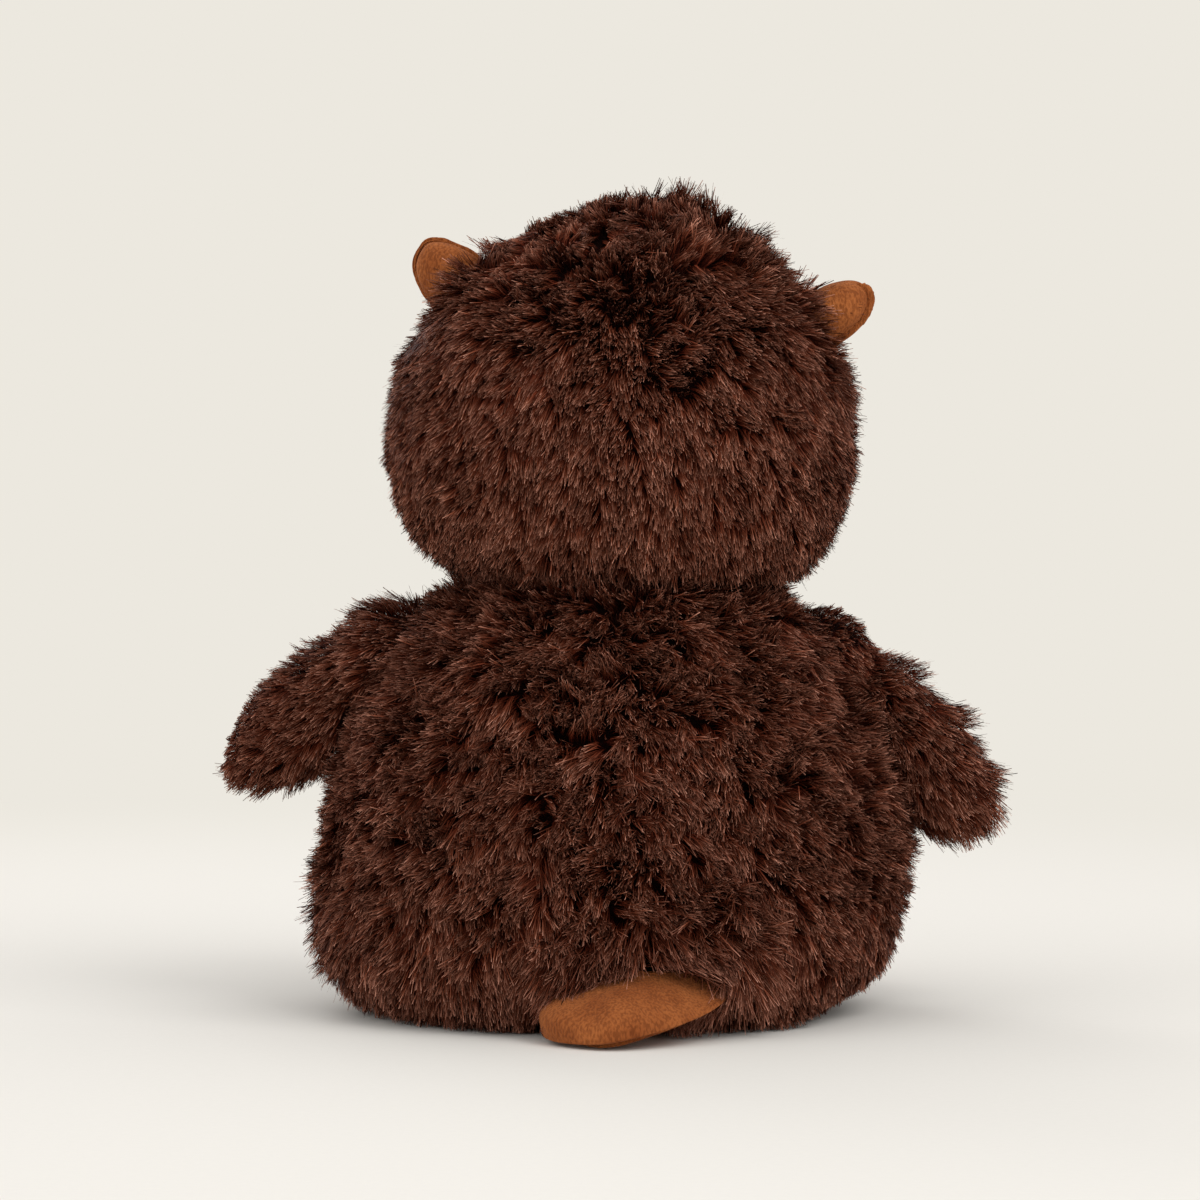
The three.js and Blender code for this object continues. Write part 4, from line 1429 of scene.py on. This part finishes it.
class FootCoat(LimbCoat):
    """Pile on a foot, up to the sole's seam."""

    density = 2.4
    seam = 0.0  # set for each foot

    def keep(self, points):
        return super().keep(points) & (self.form.local(points)[:, 2] < self.seam)


class ArmCoat(LimbCoat):
    """Pile on an arm, whose length changes along the top of the arm and is another underneath."""

    density = 3.6
    DEPTH = 0.88
    STEP = 0.02  # distance between the places along the arm that have their own share

    def __init__(self, sizes, side, seed):
        super().__init__(sizes, arm_form(sizes, side), sizes.fur.arm_pile, seed)
        self.over = np.array(sided(sizes.arms, side, "over"))
        self.under = sided(sizes.arms, side, "under")

    def pile(self, points):
        along = self.form.local(points)[:, 2]
        level = self.form.place.translation.z + along * self.axis[2]
        upper = ramp(points[:, 2] - level, -0.006, 0.006)
        over = np.interp(along, self.STEP * np.arange(len(self.over)), self.over)
        return self.pile_length * (self.under + (over - self.under) * upper)


class BEAVER_OT_arms(Operator):
    """Makes the two arms"""

    bl_idname = "beaver.arms"
    bl_label = "Arms"

    LUMPS = 0.001

    def execute(self, context):
        sizes = context.scene.beaver
        for seed, side in enumerate(SIDES, start=31):
            self.add_arm(sizes, side, seed)
        return {"FINISHED"}

    def add_arm(self, sizes, side, seed):
        """One arm: its hide, clear of the torso, and its two fur panels."""
        fur = sizes.fur
        form = arm_form(sizes, side)
        torso = torso_form(sizes)
        shoulder = np.array(form.place.translation)
        root = sizes.arms.root

        def trim(points):
            """Out of the torso, and round a ball at the shoulder."""
            far = np.linalg.norm(points - shoulder, axis=1) > root
            inside = far & (torso.nearness(points) < 1)
            for _ in range(4):
                near = torso.nearness(points[inside])
                points[inside, :2] *= np.clip(1 / near, 1, 1.2)[:, None]
            return outside_ball(points, shoulder, root)

        hide = stuffed_hide(f"{side}_arm_hide", form, fur.backing, self.LUMPS, pile_backing(sizes), trim)
        finish_piece(hide, f"{side}_arm", [])
        pelt = Pelt(hide, ArmCoat(sizes, side, seed), fur)
        for panel, sign in (("back", 1), ("front", -1)):

            def inside(points, sign=sign):
                return form.local(points)[:, 1] * sign > 0

            piece = pelt.panel(f"{side}_arm_{panel}_fur", dark_pile(sizes), inside)
            finish_piece(piece, f"{side}_arm", [f"{side}_arm_{panel}_panel"])


class BEAVER_OT_feet(Operator):
    """Makes the two feet and their soles"""

    bl_idname = "beaver.feet"
    bl_label = "Feet"

    LUMPS = 0.0008
    SEAM_CLEAR = 0.001  # between the pile and the sole
    SOLE_INSET = 0.0015  # of the sole from the foot's full form
    DENT = 0.0006  # depth of the sole's soft dents
    DENT_SPACING = 0.012

    def execute(self, context):
        sizes = context.scene.beaver
        for seed, side in enumerate(SIDES, start=41):
            self.add_foot(sizes, side, seed)
        return {"FINISHED"}

    def add_foot(self, sizes, side, seed):
        """One foot: its hide and fur up to the sole's seam, and the padded sole."""
        fur = sizes.fur
        form = foot_form(sizes, side)
        seam = sizes.feet.length - sizes.feet.sole

        def trim(points):
            """Flat where the sole is sewn on."""
            local = form.local(points)
            local[:, 2] = np.minimum(local[:, 2], seam)
            return placed(form.place, local)

        hide = stuffed_hide(f"{side}_foot_hide", form, fur.backing, self.LUMPS, pile_backing(sizes), trim)
        finish_piece(hide, f"{side}_foot", [])
        coat = FootCoat(sizes, form, fur.foot_pile, seed)
        coat.seam = seam - self.SEAM_CLEAR
        pelt = Pelt(hide, coat, fur)
        piece = pelt.panel(f"{side}_foot_pile", dark_pile(sizes), lambda p: np.ones(len(p), dtype=bool))
        finish_piece(piece, f"{side}_foot", [f"{side}_foot_fur"])

        work = bmesh.new()
        corners = shaped_ball(work, form, self.SOLE_INSET, 64, 48)
        push(corners, self.DENT * soft_noise(points_of(corners), self.DENT_SPACING, seed))
        cut_away(work, form.place, (0, 0, seam), (0, 0, -1))
        sole = object_of(f"{side}_sole", work, tan_suede(sizes))
        thicken(sole, sizes.trim.suede)
        finish_piece(sole, f"{side}_foot", [f"{side}_foot_sole"])


class BEAVER_OT_ears(Operator):
    """Makes the two ears, each a back layer of suede and a front layer whose edge curls out past it"""

    bl_idname = "beaver.ears"
    bl_label = "Ears"

    RIM = 0.0006  # how far before its rim the back layer ends
    EDGE = 0.0006  # how far the front layer's edge stands before the rim
    DENT = 0.0004  # depth of the soft dents
    DENT_SPACING = 0.007
    DENT_SEED = 5

    def execute(self, context):
        sizes = context.scene.beaver
        trim = sizes.trim
        ears = sizes.ears
        between = trim.suede + trim.seam
        for side in SIDES:
            form = ear_form(sizes, side)
            for layer, inset, rim in (("back", 0.0, self.RIM), ("front", between, -ears.roll)):
                work = bmesh.new()
                corners = shaped_ball(work, form, inset, 96, 72)
                dents = soft_noise(points_of(corners), self.DENT_SPACING, self.DENT_SEED)
                push(corners, self.DENT * dents)
                cut_away(work, form.place, (0, rim, 0), (0, -1, 0))
                cut_away(work, form.place, (0, 0, -ears.root), (0, 0, -1))
                put(work.verts, self.curled(ears, side, form, between, points_of(work.verts)))
                ear = object_of(f"{side}_ear_{layer}_suede", work, tan_suede(sizes))
                thicken(ear, trim.suede)
                finish_piece(ear, f"{side}_ear", [f"{side}_ear_{layer}"])
        return {"FINISHED"}

    def curled(self, ears, side, form, between, points):
        """Points with both layers drawn in, and the front layer's edge curled out again past a groove."""
        local = form.local(points)
        shrink = 1 - sided(ears, side, "band") / ears.height
        outward = SIDES[side] * local[:, 0] / form.half_width
        reach = sided(ears, side, "reach") + sided(ears, side, "lopside") * outward
        inner = shrink * (1 - between / ears.height)
        flare = reach / inner - 1
        turn = np.clip(-local[:, 1] / ears.roll, 0, 1)
        spread = shrink * (1 + flare * turn)
        local[:, 0] *= spread * (1 - sided(ears, side, "narrow") * ramp(-outward, -0.2, 0.5))
        local[:, 2] *= spread
        gap = sided(ears, side, "gap")
        past = ears.height * (inner * (1 + flare * turn) - shrink) - gap / 2
        dip = -ears.groove * np.exp(-((past / gap) ** 2)) - self.EDGE * turn
        local[:, 1] = np.where(turn > 0, dip, local[:, 1])
        return placed(form.place, local)


class BEAVER_OT_tail(Operator):
    """Makes the tail, an upper and a lower panel of padded suede"""

    bl_idname = "beaver.tail"
    bl_label = "Tail"

    STEP = 0.0005  # how far a point moves at a time to clear the torso
    STEPS = 70
    GROUND = 0.0003  # the tail never goes below this height
    DENT_SHARE = 0.6  # share of the wrinkle's depth from the middle of a dent to its edge
    DENT_SINK = 0.4  # how much more is dent than lump
    DENT_SPACING = 0.016
    DENT_SEED = 9
    FILL = 0.9  # share of the full padding that is kept at the root
    SQUARE = 5  # squareness of the left end
    FULL = 0.7  # how far the left end is filled
    THIN = 0.65  # share of the padding that the right edge lacks
    SHORT = 0.16  # share of its width that the right half lacks

    def execute(self, context):
        sizes = context.scene.beaver
        form = tail_form(sizes)
        half_seam = sizes.trim.seam / 2
        level = -sizes.tail.seam_level
        for panel, sign in (("top", 1), ("under", -1)):
            work = bmesh.new()
            corners = shaped_ball(work, form, 0.0, 96, 48)
            dent = soft_noise(points_of(corners), self.DENT_SPACING, self.DENT_SEED) - self.DENT_SINK
            push(corners, sizes.tail.wrinkle * self.DENT_SHARE * dent)
            cut_away(work, form.place, (0, 0, level + sign * half_seam), (0, 0, -sign))
            self.settle(sizes, form, work)
            tail = object_of(f"tail_{panel}_suede", work, tan_suede(sizes))
            thicken(tail, sizes.trim.suede)
            finish_piece(tail, "tail", [f"tail_{panel}_panel"])
        self.add_wadding(sizes, form)
        return {"FINISHED"}

    def add_wadding(self, sizes, form):
        """The stuffing, which fills the suede."""
        work = bmesh.new()
        shaped_ball(work, form, sizes.trim.suede + sizes.trim.seam, 48, 24)
        self.settle(sizes, form, work)
        wadding = object_of("tail_wadding", work, bpy.data.materials["inner_stuffing"])
        finish_piece(wadding, "tail", ["tail_stuffing"])

    def settle(self, sizes, form, work):
        """Draws a mesh to the tail's lie, clear of the torso and the ground."""
        points = self.drawn(sizes, form, points_of(work.verts))
        points = self.clear_of_torso(sizes, form, points)
        points[:, 2] = np.maximum(points[:, 2], self.GROUND)
        put(work.verts, points)

    def drawn(self, sizes, form, points):
        """Points with thick padding at the root and the left end, and the right edge drawn back."""
        local = form.local(points)
        across = np.minimum(np.abs(local[:, 0]) / form.half_width, 1)
        full = form.above * (1 - across**form.full_above) ** (1 / form.full_above)
        rootward = self.FILL * ramp(-local[:, 1], 0.0, 0.012) * ramp(local[:, 2], 0.0, 0.0025)
        local[:, 2] += rootward * np.maximum(full - local[:, 2], 0)
        radius = np.hypot(local[:, 0] / form.half_width, local[:, 1] / form.back)
        square = form.above * (1 - np.minimum(radius, 1) ** self.SQUARE) ** (1 / self.SQUARE)
        left = self.FULL * ramp(local[:, 0], 0.0, 0.6 * form.half_width) * ramp(local[:, 2], 0.0, 0.0025)
        local[:, 2] += left * np.maximum(square - local[:, 2], 0)
        right = ramp(-local[:, 0], 0.0, form.half_width)
        local[:, 1] -= sizes.tail.sweep * right
        local[:, 2] *= 1 - self.THIN * right
        local[:, 2] -= sizes.tail.sag * right
        local[:, 0] *= 1 - self.SHORT * right
        return placed(form.place, local)

    def clear_of_torso(self, sizes, form, points):
        """Points drawn along the tail until none goes into the torso as the tail lifts."""
        torso = torso_form(sizes)
        joint = JOINTS["tail_lift"]
        axis = Vector(joint["axis"])
        seam = Matrix.Translation(pivot("tail_lift"))
        turns = [math.radians(turn) for turn in np.linspace(*joint["range_deg"], 4)]
        lifts = [seam @ Matrix.Rotation(turn, 4, axis) @ seam.inverted() for turn in turns]
        along = np.array(form.place.to_3x3() @ Vector((0, 1, 0)))
        limit = 1 - sizes.tail.sink / sizes.torso.back
        for _ in range(self.STEPS):
            nearest_yet = np.min([torso.nearness(placed(lift, points)) for lift in lifts], axis=0)
            inside = nearest_yet < limit
            points[inside] += self.STEP * along
        return points


class BEAVER_OT_face(Operator):
    """Makes the muzzle, nose, teeth and eyes"""

    bl_idname = "beaver.face"
    bl_label = "Face"

    CLEFT_WIDTH = 0.0022
    CHEEK = 0.0012  # how far the muzzle swells beside the cleft
    CHEEK_WIDTH = 0.012
    FELT_EDGE = 0.0003  # radius of the felt's edges

    def execute(self, context):
        sizes = context.scene.beaver
        face = sizes.face
        muzzle = muzzle_form(sizes)
        work = bmesh.new()
        corners = shaped_ball(work, muzzle, 0.0, 72, 48)
        local = muzzle.local(points_of(corners))
        groove = np.exp(-((local[:, 0] / self.CLEFT_WIDTH) ** 2)) * ramp(-local[:, 1], 0.004, 0.015)
        below_nose = ramp(muzzle.widest + 0.004 - local[:, 2], -0.004, 0.006)
        cheek = self.CHEEK * np.cos(local[:, 0] / self.CHEEK_WIDTH) * ramp(-local[:, 1], 0.0, 0.012)
        push(corners, -face.cleft * groove * below_nose - cheek)
        cover = object_of("muzzle_suede", work, tan_suede(sizes))
        soften(cover)
        finish_piece(cover, "head", ["muzzle_cover"])
        self.add_nose(sizes, muzzle)
        for side in SIDES:
            self.add_tooth(sizes, muzzle, side)
            self.add_eye(sizes, side)
        return {"FINISHED"}

    def add_nose(self, sizes, muzzle):
        """A soft rounded nose, wider above than below."""
        face = sizes.face
        level = muzzle.widest + face.nose_level
        reach = muzzle.depth(0, level, -1)
        form = StuffedForm(
            muzzle.place @ Matrix.Translation((0, reach, 0)),
            face.nose_half_width,
            (face.nose_reach, face.nose_reach),
            level,
            (face.nose_half_height, face.nose_half_height),
            (face.nose_full_above, face.nose_full_below),
        )
        work = bmesh.new()
        shaped_ball(work, form, 0.0)
        nose = object_of("nose_velour_pad", work, velour_material(sizes.trim))
        soften(nose)
        finish_piece(nose, "head", ["nose"])

    def add_tooth(self, sizes, muzzle, side):
        """A felt tooth, round at its lower corners."""
        face = sizes.face
        sign = SIDES[side]
        inner = sign * sizes.trim.seam / 2
        outer = inner + sign * face.tooth_width
        top = muzzle.widest + face.tooth_level
        forth = muzzle.depth(outer, top, -1) - sizes.trim.seam - face.tooth_thickness / 2
        centre = Vector(((inner + outer) / 2, forth, top - face.tooth_length / 2))
        size = Matrix.Diagonal((face.tooth_width, face.tooth_thickness, face.tooth_length, 1))
        work = bmesh.new()
        bmesh.ops.create_cube(work, size=1, matrix=Matrix.Translation(centre) @ size)
        lower = [
            edge
            for edge in work.edges
            if all(corner.co.z < centre.z for corner in edge.verts)
            and abs(edge.verts[0].co.x - edge.verts[1].co.x) < 1e-6
        ]
        self.round_off(work, lower, face.tooth_corner, 6)
        self.round_off(work, list(work.edges), self.FELT_EDGE, 2)
        bmesh.ops.transform(work, matrix=muzzle.place, verts=work.verts)
        felt = material_named("felt_fibre", felt_material, sizes.trim)
        tooth = object_of(f"{side}_felt_tooth", work, felt)
        finish_piece(tooth, "head", [f"{side}_tooth"])

    def round_off(self, work, edges, radius, segments):
        """Rounds edges of the felt."""
        bmesh.ops.bevel(
            work,
            geom=edges,
            offset=radius,
            affect="EDGES",
            segments=segments,
            profile=0.5,
            material=-1,
        )

    def add_eye(self, sizes, side):
        """A polished bead, sunk in the pile."""
        face = sizes.face
        work = bmesh.new()
        size = Matrix.Diagonal((face.eye_radius, face.eye_radius, face.eye_dome, 1))
        place = eye_frame(sizes, side) @ Matrix.Translation((0, 0, -face.eye_sink))
        bmesh.ops.create_uvsphere(work, u_segments=48, v_segments=24, radius=1, matrix=place @ size)
        eye = object_of(f"{side}_bead", work, material_named("polished_bead", bead_material, sizes.trim))
        finish_piece(eye, "head", [f"{side}_eye"])


class BEAVER_OT_inside(Operator):
    """Gives the pieces inside the toy their finishes"""

    bl_idname = "beaver.inside"
    bl_label = "Inside"

    SCALES = {"stuffing": 120.0, "pouch_cotton": 1400.0, "pellets": 500.0, "washer": 60.0}

    def execute(self, context):
        record = frame["record"]
        colours = {entry["slot"]: entry["base_color"][:3] for entry in record["materials"]}
        slots = {entry["node"]: entry["material_slot"] for entry in record["subparts"]}
        for node, piece in frame["nodes"].items():
            slot = slots[node]
            if slot not in self.SCALES:
                continue
            shade = linear(*(255 * value for value in colours[slot]))
            name = f"inner_{slot}"
            material = material_named(name, woven_material, name, shade, self.SCALES[slot])
            piece.data.materials.clear()
            piece.data.materials.append(material)
        return {"FINISHED"}


class BEAVER_OT_stage(Operator):
    """Makes the floor, the lights and the camera"""

    bl_idname = "beaver.stage"
    bl_label = "Stage"

    # Name of a lamp, the setting of its power, its width and its place
    LAMPS = (
        ("key_lamp", "key", 1.5, (-1.2, 1.2, 1.7)),
        ("fill_lamp", "fill", 1.8, (1.7, 1.3, 0.9)),
        ("front_lamp", "front", 0.9, (0.7, -1.6, 1.1)),
    )
    LAMP_AIM = 0.13  # height over the floor that the lamps point at
    SENSOR = 36  # width of the camera's sensor, in millimetres
    CLIP = (0.05, 30)  # nearest and furthest that the camera sees

    def execute(self, context):
        look = context.scene.beaver.stage
        context.scene.view_settings.view_transform = "Standard"
        self.add_floor(look)
        self.light_world(context.scene, look)
        for name, setting, size, place in self.LAMPS:
            self.add_lamp(name, getattr(look, setting), size, place)
        self.add_camera(context.scene, look)
        return {"FINISHED"}

    def add_floor(self, look):
        """A pale floor that turns into the backdrop further out."""
        nodes = Nodes("pale_floor")
        where = nodes.add("ShaderNodeTexCoord").outputs["Object"]
        far = nodes.add("ShaderNodeVectorMath", operation="LENGTH")
        nodes.link(where, far.inputs[0])
        fade = nodes.add("ShaderNodeMapRange", interpolation_type="SMOOTHSTEP")
        fade.inputs["From Min"].default_value = look.fade_start
        fade.inputs["From Max"].default_value = look.fade_end
        nodes.link(far.outputs["Value"], fade.inputs["Value"])
        grain = nodes.noise(400.0)
        pale = tuple(look.floor)
        tone = nodes.ramp(grain, [(0.3, scaled(pale, 0.985)), (0.7, pale)])
        nodes.colour(tone)
        nodes.set(Roughness=0.9, Specular_IOR_Level=0.1)
        glow = nodes.add("ShaderNodeEmission")
        glow.inputs["Color"].default_value = (*look.backdrop, 1)
        path = nodes.add("ShaderNodeLightPath")
        seen = nodes.add("ShaderNodeMath", operation="MULTIPLY")
        nodes.link(path.outputs["Is Camera Ray"], seen.inputs[0])
        nodes.link(fade.outputs["Result"], seen.inputs[1])
        both = nodes.add("ShaderNodeMixShader")
        nodes.link(seen.outputs["Value"], both.inputs["Fac"])
        nodes.link(nodes.shader.outputs["BSDF"], both.inputs[1])
        nodes.link(glow.outputs["Emission"], both.inputs[2])
        nodes.link(both.outputs["Shader"], nodes.tree.nodes["Material Output"].inputs["Surface"])
        work = bmesh.new()
        bmesh.ops.create_circle(work, cap_ends=True, segments=128, radius=look.floor_radius)
        floor = object_of("floor", work, nodes.material)

    def light_world(self, scene, look):
        """Even light from all round, seen by the camera as the backdrop."""
        world = bpy.data.worlds.new("studio")
        world.use_nodes = True
        scene.world = world
        tree = world.node_tree
        light = tree.nodes["Background"]
        light.inputs["Color"].default_value = (1, 1, 1, 1)
        light.inputs["Strength"].default_value = look.sky
        seen = tree.nodes.new("ShaderNodeBackground")
        seen.inputs["Color"].default_value = (*look.backdrop, 1)
        path = tree.nodes.new("ShaderNodeLightPath")
        both = tree.nodes.new("ShaderNodeMixShader")
        tree.links.new(path.outputs["Is Camera Ray"], both.inputs["Fac"])
        tree.links.new(light.outputs["Background"], both.inputs[1])
        tree.links.new(seen.outputs["Background"], both.inputs[2])
        tree.links.new(both.outputs["Shader"], tree.nodes["World Output"].inputs["Surface"])

    def add_lamp(self, name, energy, size, place):
        """A square soft lamp that points at the toy."""
        data = bpy.data.lights.new(name, "AREA")
        data.energy = energy
        data.size = size
        lamp = bpy.data.objects.new(name, data)
        lamp.location = place
        aim = Vector((0, 0, self.LAMP_AIM)) - lamp.location
        lamp.rotation_euler = aim.to_track_quat("-Z", "Y").to_euler()
        bpy.context.scene.collection.objects.link(lamp)

    def add_camera(self, scene, look):
        """A camera whose frame holds the toy as the photograph's does."""
        data = bpy.data.cameras.new("camera")
        camera = bpy.data.objects.new("camera", data)
        scene.collection.objects.link(camera)
        turn, rise = look.camera_turn, look.camera_rise
        back = Vector((math.sin(turn) * math.cos(rise), -math.cos(turn) * math.cos(rise), math.sin(rise)))
        camera.location = back * look.camera_distance
        sight = Vector((0, 0, look.aim)) - camera.location
        camera.rotation_euler = sight.to_track_quat("-Z", "Y").to_euler()
        data.shift_x = 0.5 - look.origin_across / PHOTO_PIXELS
        data.sensor_width = self.SENSOR
        data.lens = data.sensor_width * look.camera_distance / (PHOTO_PIXELS * look.pixel)
        data.clip_start, data.clip_end = self.CLIP
        scene.camera = camera


OPERATORS = (
    BEAVER_OT_stage,
    BEAVER_OT_inside,
    BEAVER_OT_torso,
    BEAVER_OT_head,
    BEAVER_OT_arms,
    BEAVER_OT_feet,
    BEAVER_OT_ears,
    BEAVER_OT_tail,
    BEAVER_OT_face,
)


class BEAVER_PT_sidebar(Panel):
    """Lists what can be made"""

    bl_idname = "BEAVER_PT_sidebar"
    bl_label = "Plush beaver"
    bl_space_type = "VIEW_3D"
    bl_region_type = "UI"
    bl_category = "Beaver"

    def draw(self, context):
        for operator in OPERATORS:
            self.layout.operator(operator.bl_idname)


GROUPS = (
    TorsoSizes,
    HeadSizes,
    ArmSizes,
    FootSizes,
    TailSizes,
    EarSizes,
    FaceSizes,
    FurLook,
    TrimLook,
    StageLook,
    BeaverSettings,
)


def register():
    for entry in (*GROUPS, *OPERATORS, BEAVER_PT_sidebar):
        bpy.utils.register_class(entry)
    bpy.types.Scene.beaver = PointerProperty(type=BeaverSettings)


def unregister():
    del bpy.types.Scene.beaver
    for entry in reversed((*GROUPS, *OPERATORS, BEAVER_PT_sidebar)):
        bpy.utils.unregister_class(entry)


def main():
    """Makes every piece."""
    register()
    bpy.ops.beaver.stage()
    bpy.ops.beaver.inside()
    bpy.ops.beaver.torso()
    bpy.ops.beaver.head()
    bpy.ops.beaver.arms()
    bpy.ops.beaver.feet()
    bpy.ops.beaver.ears()
    bpy.ops.beaver.tail()
    bpy.ops.beaver.face()


if __name__ == "__main__":
    main()
